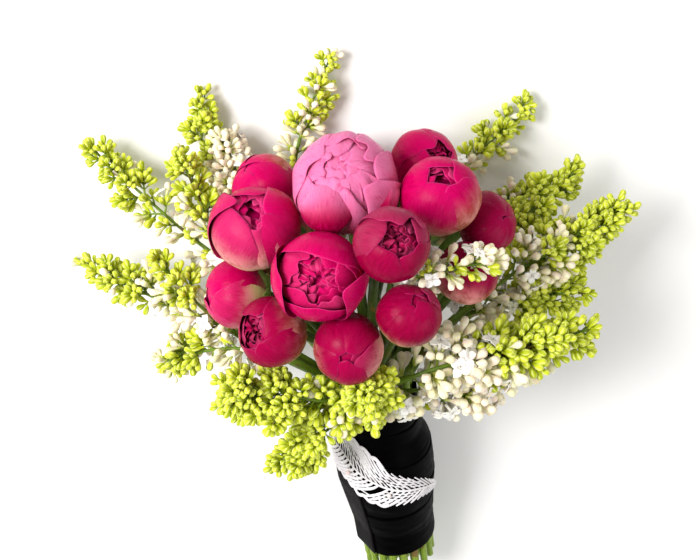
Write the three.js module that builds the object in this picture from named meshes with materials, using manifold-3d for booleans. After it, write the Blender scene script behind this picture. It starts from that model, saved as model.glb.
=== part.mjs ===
// A hand-tied bunch of peonies and white lilac, laid down on a table.
//
// Millimetres, +Z up. The flower head points to +Y and the cut stem ends to -Y.
// Everything is first placed in the bunch's own frame: its origin is the middle of the
// flower dome, +Z runs out of the flower head, +X to the right and -Y to the showing side.
// The last lines tilt that frame back until the stem ends and the lowest lilac meet the table.
import * as THREE from "three";
import { mergeVertices } from "three/addons/utils/BufferGeometryUtils.js";
import Module from "manifold-3d";

// Flower head
const DOME_RADIUS = 92; // the blooms' outermost petals lie on a ball of this size
const FULL_BLOOM = 62; // bloom diameters, from the most open to the tightest bud
const CUP_BLOOM = 53;
const HALF_BLOOM = 48;
const LARGE_BUD = 43;
const SMALL_BUD = 38;
const GUARD_PETAL = 27; // the cupped outer petal of the full bloom
const GUARD_PROUD = 4; // how far it stands out of the bloom
const PETAL_GAP = 0.6; // between neighbouring blooms

// Stems and handle, as distances below the middle of the dome
const NECK = 105; // where the stems begin to spread
const RIBBON_START = 109;
const TIE_START = 160; // the twine under the ribbon
const TIE_END = 184;
const RIBBON_END = 245;
const STEM_END = 268; // the cut ends
const PEONY_STEM = 6.2; // stem diameters
const LILAC_STEM = 5.2;
const PITCH_NECK = 7.6; // from one ring of stems to the next, at the neck
const PITCH_END = 7.4; // and at the cut ends
const TIE_THICK = 4.6;
const RIBBON_THICK = 2;
const LACE_THICK = 1.2;
const SEAT_GAP = 0.4; // between the bundle, the twine and the ribbon
const LACE_GAP = 0.8; // the lace stands a little off the ribbon
const STEM_GAP = 0.5; // between stems and whatever they pass

const STEM_SIDES = 6;

// Lilac sprays
const SPRAY_SIDES = 8;
const LYING_ROOM = 9; // the lilac stems' room between the lowest bloom and the table

// Where the guard petal sits on the full bloom, as turn and lean.
const GUARD_PLACE = [-24, 92];

// Peonies. turn goes round the handle from the showing side, towards the right. lean is the
// angle from the flower head's axis. proud is how far the bloom stands out of the dome.
// Degrees and mm.
const PEONIES = [
  { size: FULL_BLOOM, turn: 38, lean: 4, proud: -11, facing: [-4, 33] },
  { size: CUP_BLOOM, turn: -86, lean: 60, proud: -6, facing: [-5, 27] },
  { size: CUP_BLOOM, turn: -21, lean: 66, proud: -5, facing: [-5, 58] },
  { size: HALF_BLOOM, turn: 74, lean: 55, proud: 2, facing: [-2, 42] },
  { size: LARGE_BUD, turn: 120, lean: 62, proud: -2, facing: [44, 48] },
  { size: LARGE_BUD, turn: 19, lean: 55, proud: 13, facing: [19, 47] },
  { size: LARGE_BUD, turn: -134, lean: 69, proud: -4, facing: [-100, 30] },
  { size: LARGE_BUD, turn: -86, lean: 101, proud: 3, facing: [-89, 71] },
  { size: LARGE_BUD, turn: -50, lean: 102, proud: 1, facing: [-44, 53] },
  { size: LARGE_BUD, turn: -10, lean: 109, proud: -3, facing: [-6, 66] },
  { size: SMALL_BUD, turn: 21, lean: 91, proud: 0, facing: [37, 32] },
  { size: SMALL_BUD, turn: 61, lean: 93, proud: 0, facing: [18, 35] },
  { size: SMALL_BUD, turn: 88, lean: 86, proud: 6, facing: [39, 61] },
  { size: LARGE_BUD, turn: 172, lean: 78, proud: -2, facing: [172, 70] },
  { size: LARGE_BUD, turn: 124, lean: 100, proud: 0, facing: [124, 80] },
  { size: LARGE_BUD, turn: 158, lean: 112, proud: 0, facing: [158, 90] },
  { size: LARGE_BUD, turn: -162, lean: 110, proud: 0, facing: [-162, 90] },
  { size: LARGE_BUD, turn: -124, lean: 106, proud: 0, facing: [-124, 85] },
];

// Lilac sprays. from is where the flowering part starts and to is its tip, each as turn,
// lean and distance outside the dome. girth is the greatest radius of the flowering part.
const SPRAYS = [
  { from: [43, 100, -37], to: [57, 82, 0], girth: 9 },
  { from: [-164, 82, 12], to: [177, 62, 42], girth: 10 },
  { from: [-139, 88, 32], to: [-145, 69, 56], girth: 10 },
  { from: [-122, 97, 30], to: [-122, 77, 89], girth: 11 },
  { from: [-121, 90, 4], to: [-127, 73, 32], girth: 11 },
  { from: [-104, 112, 33], to: [-108, 96, 84], girth: 11 },
  { from: [-101, 116, 19], to: [-105, 94, 30], girth: 10 },
  { from: [-94, 123, 20], to: [-99, 121, 60], girth: 11 },
  { from: [-36, 146, 6], to: [-62, 122, 20], girth: 19 },
  { from: [-33, 152, 9], to: [-48, 149, 42], girth: 16 },
  { from: [-5, 150, 4], to: [-3, 122, -10], girth: 14 },
  { from: [19, 142, -8], to: [78, 117, 61], girth: 16 },
  { from: [25, 153, 4], to: [70, 138, 34], girth: 14 },
  { from: [91, 118, 7], to: [99, 99, 79], girth: 13 },
  { from: [110, 112, 8], to: [110, 94, 63], girth: 12 },
  { from: [139, 97, 28], to: [130, 86, 74], girth: 11 },
  { from: [92, 125, 11], to: [93, 116, 59], girth: 12 },
  { from: [-136, 95, 3], to: [-143, 76, 24], girth: 9 },
  { from: [124, 121, 25], to: [120, 102, 60], girth: 11 },
];

// The lace leaf on the ribbon: its middle line as turn and distance below the dome, and how
// far it reaches to each side of that line, from the narrow end to the broad one.
const LACE = [
  { turn: 88, below: 205, half: 2 },
  { turn: 62, below: 193, half: 5 },
  { turn: 36, below: 183, half: 10 },
  { turn: 6, below: 175, half: 15 },
  { turn: -18, below: 166, half: 19 },
  { turn: -42, below: 156, half: 21 },
  { turn: -70, below: 152, half: 20 },
  { turn: -95, below: 150, half: 15 },
  { turn: -112, below: 149, half: 6 },
];

const COLOURS = {
  peony: { color: 0xd8177a, roughness: 0.55, metalness: 0 },
  peonyStem: { color: 0x7ea23a, roughness: 0.6, metalness: 0 },
  lilac: { color: 0xb9cf52, roughness: 0.7, metalness: 0 },
  twine: { color: 0xa88c5f, roughness: 0.9, metalness: 0 },
  ribbon: { color: 0x17161b, roughness: 0.5, metalness: 0 },
  lace: { color: 0xf4f1ec, roughness: 0.8, metalness: 0 },
};

const wasm = await Module();
wasm.setup();

// A point at turn and lean degrees, reach mm from the middle of the dome.
function polar(turn, lean, reach) {
  const round = THREE.MathUtils.degToRad(turn);
  const down = THREE.MathUtils.degToRad(lean);
  return new THREE.Vector3(
    reach * Math.sin(down) * Math.sin(round),
    -reach * Math.sin(down) * Math.cos(round),
    reach * Math.cos(down),
  );
}

// A point on the handle at a radius from its axis.
function onHandle(turn, radius, below) {
  const round = THREE.MathUtils.degToRad(turn);
  return new THREE.Vector3(radius * Math.sin(round), -radius * Math.cos(round), -below);
}

// Each bloom is slid out of the dome until it clears the blooms placed before it.
function placeBlooms() {
  const SLIDE = 0.25;
  const balls = [];
  return PEONIES.map((peony, index) => {
    const radius = peony.size / 2;
    const meets = (centre) =>
      balls.some((ball) => ball.centre.distanceTo(centre) < ball.radius + radius + PETAL_GAP);
    let reach = DOME_RADIUS - radius + peony.proud;
    while (meets(polar(peony.turn, peony.lean, reach))) reach += SLIDE;
    const centre = polar(peony.turn, peony.lean, reach);
    const bloom = { index, radius, centre, facing: polar(...peony.facing, 1), turn: peony.turn };
    bloom.balls = [{ centre, radius }];
    if (peony.size === FULL_BLOOM) {
      const cup = GUARD_PETAL / 2;
      const out = polar(...GUARD_PLACE, radius - cup + GUARD_PROUD);
      bloom.balls.push({ centre: centre.clone().add(out), radius: cup });
    }
    balls.push(...bloom.balls);
    return bloom;
  });
}

// Stems stand in rings in the handle. Each ring is filled in order of turn.
function seatStems(members) {
  const seats = new Map();
  let next = 0;
  for (let ring = 0; next < members.length; ring++) {
    const places = ring === 0 ? 1 : 6 * ring;
    const row = members.slice(next, next + places).sort((a, b) => a.turn - b.turn);
    const step = 360 / places;
    const shift = row.reduce((sum, member, i) => sum + member.turn - i * step, 0) / row.length;
    row.forEach((member, i) => seats.set(member, { ring, turn: shift + i * step }));
    next += places;
  }
  return seats;
}

const lastRing = (count) => Math.ceil((Math.sqrt(12 * count - 3) - 3) / 6);

// The two ends of a stem's straight part, inside the handle.
function straightPart({ ring, turn }) {
  return [
    onHandle(turn, ring * PITCH_END, STEM_END),
    onHandle(turn, ring * PITCH_NECK, NECK),
  ];
}

function curveTo(straight, end, arriving, steps) {
  const [cut, neck] = straight;
  const reach = neck.distanceTo(end) * 0.38;
  const leaving = neck.clone().sub(cut).setLength(reach);
  const curve = new THREE.CubicBezierCurve3(
    neck,
    neck.clone().add(leaving),
    end.clone().addScaledVector(arriving, -reach),
    end,
  );
  return curve.getSpacedPoints(steps).slice(1);
}

// A strand is a row of points with a radius at each one. Its first two points are held by
// the handle and, on a peony, its last by the bloom.
function peonyStrand(bloom, seat) {
  const STEPS = 9;
  const straight = straightPart(seat);
  const base = bloom.centre.clone();
  base.addScaledVector(bloom.facing, -bloom.radius - SEAT_GAP);
  const points = [...straight, ...curveTo(straight, base, bloom.facing, STEPS)];
  const radii = points.map(() => PEONY_STEM / 2);
  return { points, radii, held: points.length - 1, bloom };
}

function sprayStrand(spray, seat) {
  const STEPS = 8;
  const [turn, lean, off] = spray.from;
  const start = polar(turn, lean, DOME_RADIUS + off);
  const tip = polar(spray.to[0], spray.to[1], DOME_RADIUS + spray.to[2]);
  const along = tip.clone().sub(start).normalize();
  const straight = straightPart(seat);
  const stem = [...straight, ...curveTo(straight, start, along, STEPS)];
  const flowers = SPRAY_SHAPE.slice(1).map(([t]) => start.clone().lerp(tip, t));
  const radii = [
    ...stem.slice(1).map(() => LILAC_STEM / 2),
    ...SPRAY_SHAPE.map(([, share]) => share * spray.girth),
  ];
  return { points: [...stem, ...flowers], radii, held: -1 };
}

// The outline of a flowering spray: how far along it, and its share of the greatest radius.
const SPRAY_SHAPE = [
  [0, 0.5],
  [0.15, 0.85],
  [0.3, 1],
  [0.45, 0.95],
  [0.6, 0.85],
  [0.75, 0.7],
  [0.88, 0.6],
  [1, 0.35],
];

// The angle of the handle's axis to the table and the dome's height over it, with the cut
// ends on the table and room for lilac stems under the lowest bloom.
function layDown(balls, bundleRadius) {
  const rest = (tilt) => {
    const up = new THREE.Vector3(0, -Math.cos(tilt), Math.sin(tilt));
    const lowest = Math.min(...balls.map((ball) => ball.centre.dot(up) - ball.radius));
    const height = LYING_ROOM - lowest;
    const ends = height - STEM_END * Math.sin(tilt) - bundleRadius * Math.cos(tilt);
    return { tilt, up, height, ends };
  };
  let low = 0;
  let high = THREE.MathUtils.degToRad(45);
  while (high - low > 1e-6) {
    const middle = (low + high) / 2;
    if (rest(middle).ends > 0) low = middle;
    else high = middle;
  }
  return rest(low);
}

// Lets stems and sprays shoulder each other aside until nothing touches, as they do when
// the bunch is gathered. Blooms and the handle stay where they are.
function settle(strands, balls, table, handleRadius) {
  const ROUNDS = 260;
  const EASING = 170; // rounds in which the strands are also kept smooth and near home
  const SMOOTH = 0.15;
  const HOMING = 0.02;
  const HURRY = 1.1;
  const WIDEST = 2 * Math.max(...strands.flatMap((strand) => strand.radii));
  const STIFF = 0.2; // a link caught close to a held end hardly gives
  const a = new THREE.Vector3();
  const b = new THREE.Vector3();
  const homes = strands.map((strand) => strand.points.map((point) => point.clone()));
  const links = strands.flatMap((strand) =>
    strand.points.slice(1).map((end, i) => ({
      strand,
      line: new THREE.Line3(strand.points[i], end),
      ends: [i, i + 1],
      length: strand.points[i].distanceTo(end),
    })),
  );
  const free = (strand, i) => i > 1 && i !== strand.held;
  const thick = (link, share) =>
    THREE.MathUtils.lerp(link.strand.radii[link.ends[0]], link.strand.radii[link.ends[1]], share);
  const share = (link, point) => point.distanceTo(link.line.start) / link.line.distance();
  const weight = (link, at) => {
    const first = free(link.strand, link.ends[0]) ? (1 - at) ** 2 : 0;
    return first + (free(link.strand, link.ends[1]) ? at ** 2 : 0);
  };
  const shove = (link, at, push, amount) => {
    if (free(link.strand, link.ends[0])) link.line.start.addScaledVector(push, amount * (1 - at));
    if (free(link.strand, link.ends[1])) link.line.end.addScaledVector(push, amount * at);
  };
  for (let round = 0; round < ROUNDS; round++) {
    if (round < EASING) {
      strands.forEach((strand, s) => {
        for (let i = 2; i < strand.points.length; i++) {
          if (!free(strand, i)) continue;
          strand.points[i].lerp(homes[s][i], HOMING);
          if (i + 1 === strand.points.length) continue;
          a.addVectors(strand.points[i - 1], strand.points[i + 1]).multiplyScalar(0.5);
          strand.points[i].lerp(a, SMOOTH);
        }
      });
    }
    links.forEach((link, i) => {
      for (let j = i + 1; j < links.length; j++) {
        const other = links[j];
        if (other.strand === link.strand) continue;
        if (link.ends[0] === 0 && other.ends[0] === 0) continue;
        const room = link.length + other.length + WIDEST + STEM_GAP;
        if (link.line.start.distanceTo(other.line.start) > room) continue;
        const apart = Math.sqrt(link.line.distanceSqToLine3(other.line, a, b));
        const s = share(link, a);
        const t = share(other, b);
        const need = thick(link, s) + thick(other, t) + STEM_GAP;
        if (apart >= need || apart === 0) continue;
        const push = a.sub(b).divideScalar(apart);
        const give = Math.max(weight(link, s) + weight(other, t), STIFF);
        const amount = (HURRY * (need - apart)) / give;
        shove(link, s, push, amount);
        shove(other, t, push, -amount);
      }
      for (const ball of balls) {
        const own = link.strand.bloom?.balls.includes(ball);
        if (own && link.ends[1] === link.strand.held) continue;
        link.line.closestPointToPoint(ball.centre, true, a);
        const s = share(link, a);
        const need = thick(link, s) + ball.radius + STEM_GAP;
        const apart = a.distanceTo(ball.centre);
        if (apart >= need) continue;
        a.sub(ball.centre).divideScalar(apart);
        shove(link, s, a, (HURRY * (need - apart)) / Math.max(weight(link, s), STIFF));
      }
    });
    for (const strand of strands) {
      strand.points.forEach((point, i) => {
        if (!free(strand, i)) return;
        const sunk = strand.radii[i] - table.height - point.dot(table.up);
        if (sunk > 0) point.addScaledVector(table.up, sunk);
        const out = Math.hypot(point.x, point.y);
        const room = handleRadius + strand.radii[i] + STEM_GAP;
        if (point.z < strand.radii[i] - NECK && out < room) {
          point.x *= room / out;
          point.y *= room / out;
        }
      });
    }
  }
}

// A closed rod along a strand, made by bending a cylinder.
function rod(strand, sides) {
  const { points, radii } = strand;
  const last = points.length - 1;
  const shape = new THREE.CylinderGeometry(1, 1, 1, sides, last);
  const position = shape.getAttribute("position");
  const frames = [];
  const across = new THREE.Vector3(1, 0, 0);
  points.forEach((point, i) => {
    const along = points[Math.min(i + 1, last)].clone().sub(points[Math.max(i - 1, 0)]);
    if (i === strand.held) along.copy(strand.bloom.facing);
    along.normalize();
    across.addScaledVector(along, -across.dot(along)).normalize();
    frames.push({ across: across.clone(), side: across.clone().cross(along) });
  });
  const vertex = new THREE.Vector3();
  for (let i = 0; i < position.count; i++) {
    vertex.fromBufferAttribute(position, i);
    const at = Math.round((vertex.y + 0.5) * last);
    const { across, side } = frames[at];
    const moved = points[at].clone();
    moved.addScaledVector(across, vertex.x * radii[at]);
    moved.addScaledVector(side, vertex.z * radii[at]);
    position.setXYZ(i, moved.x, moved.y, moved.z);
  }
  shape.computeVertexNormals();
  return shape;
}

// A closed bloom: narrow at the calyx, fullest in the middle and rounded over at the tip.
function bloomShape(bloom) {
  const PROFILE = [
    [0, -1],
    [0.42, -0.9],
    [0.76, -0.63],
    [0.96, -0.22],
    [0.97, 0.2],
    [0.82, 0.56],
    [0.52, 0.82],
    [0, 0.93],
  ];
  const SEGMENTS = 12;
  const outline = PROFILE.map(([out, up]) => new THREE.Vector2(out, up));
  const shape = new THREE.LatheGeometry(outline, SEGMENTS);
  shape.rotateX(Math.PI / 2); // the lathe's axis is +Y
  const facing = new THREE.Quaternion();
  facing.setFromUnitVectors(new THREE.Vector3(0, 0, 1), bloom.facing);
  shape.scale(bloom.radius, bloom.radius, bloom.radius);
  shape.applyQuaternion(facing);
  shape.translate(...bloom.centre);
  return bloom.balls.slice(1).reduce((whole, ball) => {
    const cup = new THREE.IcosahedronGeometry(ball.radius, 1);
    cup.translate(...ball.centre);
    return join(whole, cup);
  }, shape);
}

function solid(geometry) {
  const plain = geometry.clone();
  plain.deleteAttribute("normal");
  plain.deleteAttribute("uv");
  const merged = mergeVertices(plain, 1e-4);
  return new wasm.Manifold(
    new wasm.Mesh({
      numProp: 3,
      vertProperties: merged.getAttribute("position").array,
      triVerts: new Uint32Array(merged.index.array),
    }),
  );
}

function join(one, two) {
  const mesh = solid(one).add(solid(two)).getMesh();
  const shape = new THREE.BufferGeometry();
  shape.setAttribute("position", new THREE.BufferAttribute(mesh.vertProperties, 3));
  shape.setIndex(new THREE.BufferAttribute(mesh.triVerts, 1));
  shape.computeVertexNormals();
  return shape;
}

// Radius of the bundle of stems at a distance below the dome.
function bundleRadius(below, rings) {
  const { clamp, mapLinear } = THREE.MathUtils;
  const at = clamp(below, NECK, STEM_END);
  return rings * mapLinear(at, NECK, STEM_END, PITCH_NECK, PITCH_END) + LILAC_STEM / 2;
}

// A ring round the handle, from stations given as distance below, inner and outer radius.
function sleeve(stations, segments) {
  const outer = stations.map(([below, , radius]) => new THREE.Vector2(radius, -below));
  const inner = stations.map(([below, radius]) => new THREE.Vector2(radius, -below));
  const outline = [...inner, ...outer.reverse()];
  const shape = new THREE.LatheGeometry([...outline, outline[0]], segments);
  return shape.rotateX(Math.PI / 2);
}

// The twine's inner and outer radius.
function tieRadii(rings) {
  const bundle = Math.max(bundleRadius(TIE_START, rings), bundleRadius(TIE_END, rings));
  return [bundle + SEAT_GAP, bundle + SEAT_GAP + TIE_THICK];
}

function ribbonStations(rings) {
  const EASE = 14; // the ribbon's slope on to the twine and off it
  const overTie = tieRadii(rings)[1] + SEAT_GAP;
  const bare = (below) => bundleRadius(below, rings) + SEAT_GAP;
  return [
    [RIBBON_START, bare(RIBBON_START)],
    [TIE_START - EASE, bare(TIE_START - EASE)],
    [TIE_START - 1, overTie],
    [TIE_END + 1, overTie],
    [TIE_END + 3 * EASE, bare(TIE_END + 3 * EASE)],
    [RIBBON_END, bare(RIBBON_END)],
  ].map(([below, radius]) => [below, radius, radius + RIBBON_THICK]);
}

function tieShape(rings) {
  const [inner, outer] = tieRadii(rings);
  const round = TIE_THICK / 3;
  const stations = [
    [TIE_START, inner, outer - round],
    [TIE_START + round, inner, outer],
    [TIE_END - round, inner, outer],
    [TIE_END, inner, outer - round],
  ];
  return sleeve(stations, 24);
}

// The lace leaf, a thin plate bent round the ribbon.
function laceShape(stations) {
  const ALONG = 28;
  const ACROSS = 8;
  const heights = stations.map(([below]) => below);
  const ribbonRadius = (below) => {
    const i = Math.max(1, heights.findIndex((height) => height >= below));
    const [upper, lower] = [stations[i - 1], stations[i]];
    const share = (below - upper[0]) / (lower[0] - upper[0]);
    return THREE.MathUtils.lerp(upper[2], lower[2], share);
  };
  const spine = new THREE.CatmullRomCurve3(
    LACE.map(({ turn, below, half }) => new THREE.Vector3(turn, below, half)),
  );
  const shape = new THREE.BoxGeometry(1, 1, 1, ALONG, ACROSS, 1);
  const position = shape.getAttribute("position");
  for (let i = 0; i < position.count; i++) {
    const [u, v, w] = [position.getX(i), position.getY(i), position.getZ(i)];
    const middle = spine.getPoint(u + 0.5);
    const below = middle.y + 2 * v * middle.z;
    const lift = ribbonRadius(below) + LACE_GAP + (w + 0.5) * LACE_THICK;
    const place = onHandle(middle.x, lift, below);
    position.setXYZ(i, ...place);
  }
  shape.computeVertexNormals();
  return shape;
}

const number = (index) => String(index + 1).padStart(2, "0");

function buildBunch() {
  const bunch = new THREE.Group();
  const add = (name, geometry, colour) => {
    const mesh = new THREE.Mesh(geometry, new THREE.MeshStandardMaterial(COLOURS[colour]));
    mesh.name = name;
    bunch.add(mesh);
  };
  const blooms = placeBlooms();
  const balls = blooms.flatMap((bloom) => bloom.balls);
  const sprays = SPRAYS.map((spray) => ({ ...spray, turn: spray.from[0] }));
  const inward = [...blooms].sort((a, b) => PEONIES[a.index].lean - PEONIES[b.index].lean);
  const seats = seatStems([...inward, ...sprays]);
  const rings = lastRing(seats.size);
  const table = layDown(balls, bundleRadius(STEM_END, rings));
  const peonyStrands = blooms.map((bloom) => peonyStrand(bloom, seats.get(bloom)));
  const sprayStrands = sprays.map((spray) => sprayStrand(spray, seats.get(spray)));
  const stations = ribbonStations(rings);
  const handleRadius = Math.max(...stations.map(([, , outer]) => outer));
  settle([...peonyStrands, ...sprayStrands], balls, table, handleRadius);

  blooms.forEach((bloom, i) => add("peony_" + number(i), bloomShape(bloom), "peony"));
  peonyStrands.forEach((strand, i) =>
    add("peony_stem_" + number(i), rod(strand, STEM_SIDES), "peonyStem"),
  );
  sprayStrands.forEach((strand, i) =>
    add("lilac_" + number(i), rod(strand, SPRAY_SIDES), "lilac"),
  );
  add("twine_tie", tieShape(rings), "twine");
  add("ribbon_wrap", sleeve(stations, 32), "ribbon");
  add("lace_leaf", laceShape(stations), "lace");
  bunch.rotation.x = table.tilt - Math.PI / 2;
  return bunch;
}

// The part's origin is under the middle of the bunch, on the table.
const bunch = buildBunch();
const part = new THREE.Group();
part.add(bunch);
const extent = new THREE.Box3().setFromObject(part, true);
const middle = extent.getCenter(new THREE.Vector3());
bunch.position.set(-middle.x, -middle.y, -extent.min.z);

export default part;
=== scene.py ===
"""A hand-tied bunch of magenta peonies and lilac, lying on a table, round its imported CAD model.

Lengths are in metres and in the frame of the CAD model, unless a name or comment says millimetres.
"""
import logging
import math
from collections.abc import Iterable, Sequence
from dataclasses import dataclass, field
from enum import Enum

import bpy
import numpy as np
from mathutils import Matrix, Vector


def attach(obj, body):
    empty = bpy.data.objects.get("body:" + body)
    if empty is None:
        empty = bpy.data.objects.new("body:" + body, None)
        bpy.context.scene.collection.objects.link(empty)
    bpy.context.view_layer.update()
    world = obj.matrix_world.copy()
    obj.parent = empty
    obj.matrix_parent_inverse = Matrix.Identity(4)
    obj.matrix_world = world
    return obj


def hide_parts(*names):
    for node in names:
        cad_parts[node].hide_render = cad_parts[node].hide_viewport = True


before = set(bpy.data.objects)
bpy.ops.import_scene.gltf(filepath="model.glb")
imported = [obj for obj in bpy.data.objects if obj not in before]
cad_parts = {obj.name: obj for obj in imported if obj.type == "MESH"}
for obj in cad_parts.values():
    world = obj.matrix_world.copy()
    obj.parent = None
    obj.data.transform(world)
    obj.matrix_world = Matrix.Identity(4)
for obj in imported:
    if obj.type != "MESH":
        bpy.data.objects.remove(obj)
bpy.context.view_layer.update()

LOG = logging.getLogger("peonies")
MM = 0.001
CM = 100  # centimetres in a metre, for surface coordinates
BODY = "root"
Array = np.ndarray
Colour = tuple[float, float, float]


def hex_colour(code: str) -> Colour:
    """Turns a screen colour into linear light.

    Args:
        code: six hexadecimal digits.

    Returns:
        Linear red, green and blue.
    """
    parts = [int(code[k : k + 2], 16) / 255 for k in (0, 2, 4)]
    return tuple(c / 12.92 if c <= 0.04045 else ((c + 0.055) / 1.055) ** 2.4 for c in parts)


def unit(v: Array) -> Array:
    """Scales vectors in the last axis to length one."""
    return v / np.maximum(np.linalg.norm(v, axis=-1, keepdims=True), 1e-12)


def smooth(x: Array | float, low: float = 0.0, high: float = 1.0) -> Array:
    """Eases from 0 at low to 1 at high."""
    t = np.clip((np.asarray(x, float) - low) / (high - low), 0, 1)
    return t * t * (3 - 2 * t)


def run_along(path: Array) -> Array:
    """Gives how far along a path each of its points is."""
    return np.concatenate([[0], np.cumsum(np.linalg.norm(np.diff(path, axis=0), axis=1))])


def round_turns(sides: int) -> Array:
    """Gives the turns of a tube's sides, in radians."""
    return np.arange(sides) * 2 * math.pi / sides


def node_points(node: str) -> Array:
    """Reads the corners of a CAD node."""
    return np.array([v.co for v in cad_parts[node].data.vertices], float)


class Ripple:
    """A smooth random height over two coordinates, as a sum of a few sine waves."""

    def __init__(self, rng: np.random.Generator, low: float, high: float, waves: int = 5) -> None:
        """Draws the waves.

        Args:
            rng: the random numbers.
            low: the fewest radians a unit of either coordinate takes.
            high: the most.
            waves: how many waves are summed.
        """
        self.rate = rng.uniform(low, high, (waves, 2)) * rng.choice((-1, 1), (waves, 2))
        self.phase = rng.uniform(0, 2 * math.pi, waves)

    def __call__(self, x: Array, y: Array | float = 0.0) -> Array:
        """Gives the height.

        Args:
            x: the first coordinate.
            y: the second.

        Returns:
            The height there, mostly from -1 to 1.
        """
        x, y = np.broadcast_arrays(np.asarray(x, float), np.asarray(y, float))
        waves = [np.sin(a * x + b * y + p) for (a, b), p in zip(self.rate, self.phase)]
        return sum(waves) / math.sqrt(len(waves))


# ---------------------------------------------------------------- meshes


@dataclass
class Surface:
    """One closed surface on its way into a mesh.

    Attributes:
        points: (n, 3) places.
        faces: arrays of corner numbers, each (m, 3) or (m, 4).
        uv: (n, 2) surface coordinates, in centimetres.
        tint: (n, 4) numbers that the finish reads.
        mark: (n,) one more such number.
    """

    points: Array
    faces: list[Array]
    uv: Array
    tint: Array
    mark: Array


class Mesher:
    """Gathers closed surfaces into one piece."""

    def __init__(self) -> None:
        """Starts with nothing."""
        self.parts: list[Surface] = []

    def add(self, part: Surface) -> None:
        """Takes a surface."""
        self.parts.append(part)

    def piece(self, name: str, finish: bpy.types.Material, slot: str, node: str | None = None) -> bpy.types.Object:
        """Makes the object, riding on the body.

        Args:
            name: the piece's name.
            finish: its material.
            slot: what the material counts as; not used.
            node: the CAD node that the piece replaces, or None.

        Returns:
            The new object, at the origin.
        """
        offsets = np.cumsum([0] + [len(p.points) for p in self.parts])
        points = np.concatenate([p.points for p in self.parts])
        loops, sizes = [], []
        for part, start in zip(self.parts, offsets):
            for faces in part.faces:
                loops.append((faces + start).ravel())
                sizes.append(np.full(len(faces), faces.shape[1]))
        corners, sizes = np.concatenate(loops), np.concatenate(sizes)
        mesh = bpy.data.meshes.new(name)
        mesh.vertices.add(len(points))
        mesh.vertices.foreach_set("co", points.astype(np.float32).ravel())
        mesh.loops.add(len(corners))
        mesh.loops.foreach_set("vertex_index", corners.astype(np.int32))
        mesh.polygons.add(len(sizes))
        mesh.polygons.foreach_set("loop_start", (np.cumsum(sizes) - sizes).astype(np.int32))
        mesh.polygons.foreach_set("use_smooth", np.ones(len(sizes), bool))
        mesh.update(calc_edges=True)
        uv = np.concatenate([p.uv for p in self.parts])[corners]
        mesh.uv_layers.new(name="surface").data.foreach_set("uv", uv.astype(np.float32).ravel())
        tint = np.concatenate([p.tint for p in self.parts]).astype(np.float32)
        mesh.attributes.new("tint", "FLOAT_COLOR", "POINT").data.foreach_set("color", tint.ravel())
        mark = np.concatenate([p.mark for p in self.parts]).astype(np.float32)
        mesh.attributes.new("mark", "FLOAT", "POINT").data.foreach_set("value", mark)
        mesh.materials.append(finish)
        made = bpy.data.objects.new(name, mesh)
        bpy.context.scene.collection.objects.link(made)
        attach(made, BODY)
        if node:
            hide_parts(node)
        return made


def grid_faces(rows: int, cols: int, wrap: bool = False) -> Array:
    """Numbers the quads of a grid of points.

    Args:
        rows: points along.
        cols: points across.
        wrap: whether the last column joins the first.

    Returns:
        (m, 4) corner numbers, facing along across x along.
    """
    i, j = np.meshgrid(np.arange(rows - 1), np.arange(cols - (not wrap)), indexing="ij")
    k = (j + 1) % cols
    return np.stack([i * cols + j, i * cols + k, (i + 1) * cols + k, (i + 1) * cols + j], -1).reshape(-1, 4)


def thin_solid(grid: Array, thick: Array, uv: Array, tint: Array) -> Surface:
    """Closes a curved sheet into a thin solid with two skins and a rim.

    Args:
        grid: (rows, cols, 3) middle of the sheet.
        thick: (rows, cols) its thickness.
        uv: (rows, cols, 2) surface coordinates.
        tint: (rows, cols, 4) numbers for the finish.

    Returns:
        The closed surface; mark is 0 on the skin that across x along faces, and 1 on the other.
    """
    rows, cols = grid.shape[:2]
    normal = unit(np.cross(np.gradient(grid, axis=1), np.gradient(grid, axis=0)))
    half = normal * thick[..., None] / 2
    count = rows * cols
    faces = grid_faces(rows, cols)
    low, high = np.arange(cols), np.arange(rows)
    rim = np.concatenate(
        [low[:-1], high[:-1] * cols + cols - 1, (rows - 1) * cols + low[:0:-1], high[:0:-1] * cols]
    )
    after = np.roll(rim, -1)
    band = np.stack([after, rim, rim + count, after + count], -1)
    return Surface(
        np.concatenate([(grid + half).reshape(-1, 3), (grid - half).reshape(-1, 3)]),
        [faces, faces[:, ::-1] + count, band],
        np.tile(uv.reshape(-1, 2), (2, 1)),
        np.tile(tint.reshape(-1, 4), (2, 1)),
        np.repeat([0.0, 1.0], count),
    )


def sweep_frames(path: Array, up: Array | None = None) -> tuple[Array, Array]:
    """Finds two directions across a path at each of its points.

    Args:
        path: (n, 3) points.
        up: (n, 3) directions that the second one keeps to, or None to let both follow the path.

    Returns:
        The two (n, 3) directions.
    """
    along = unit(np.gradient(path, axis=0))
    if up is not None:
        side = unit(np.cross(up, along))
        return side, np.cross(along, side)
    side = np.empty_like(path)
    side[0] = unit(np.cross(along[0], np.eye(3)[np.argmin(np.abs(along[0]))]))
    for k in range(1, len(path)):
        side[k] = unit(side[k - 1] - along[k] * np.dot(along[k], side[k - 1]))
    return side, np.cross(along, side)


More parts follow.
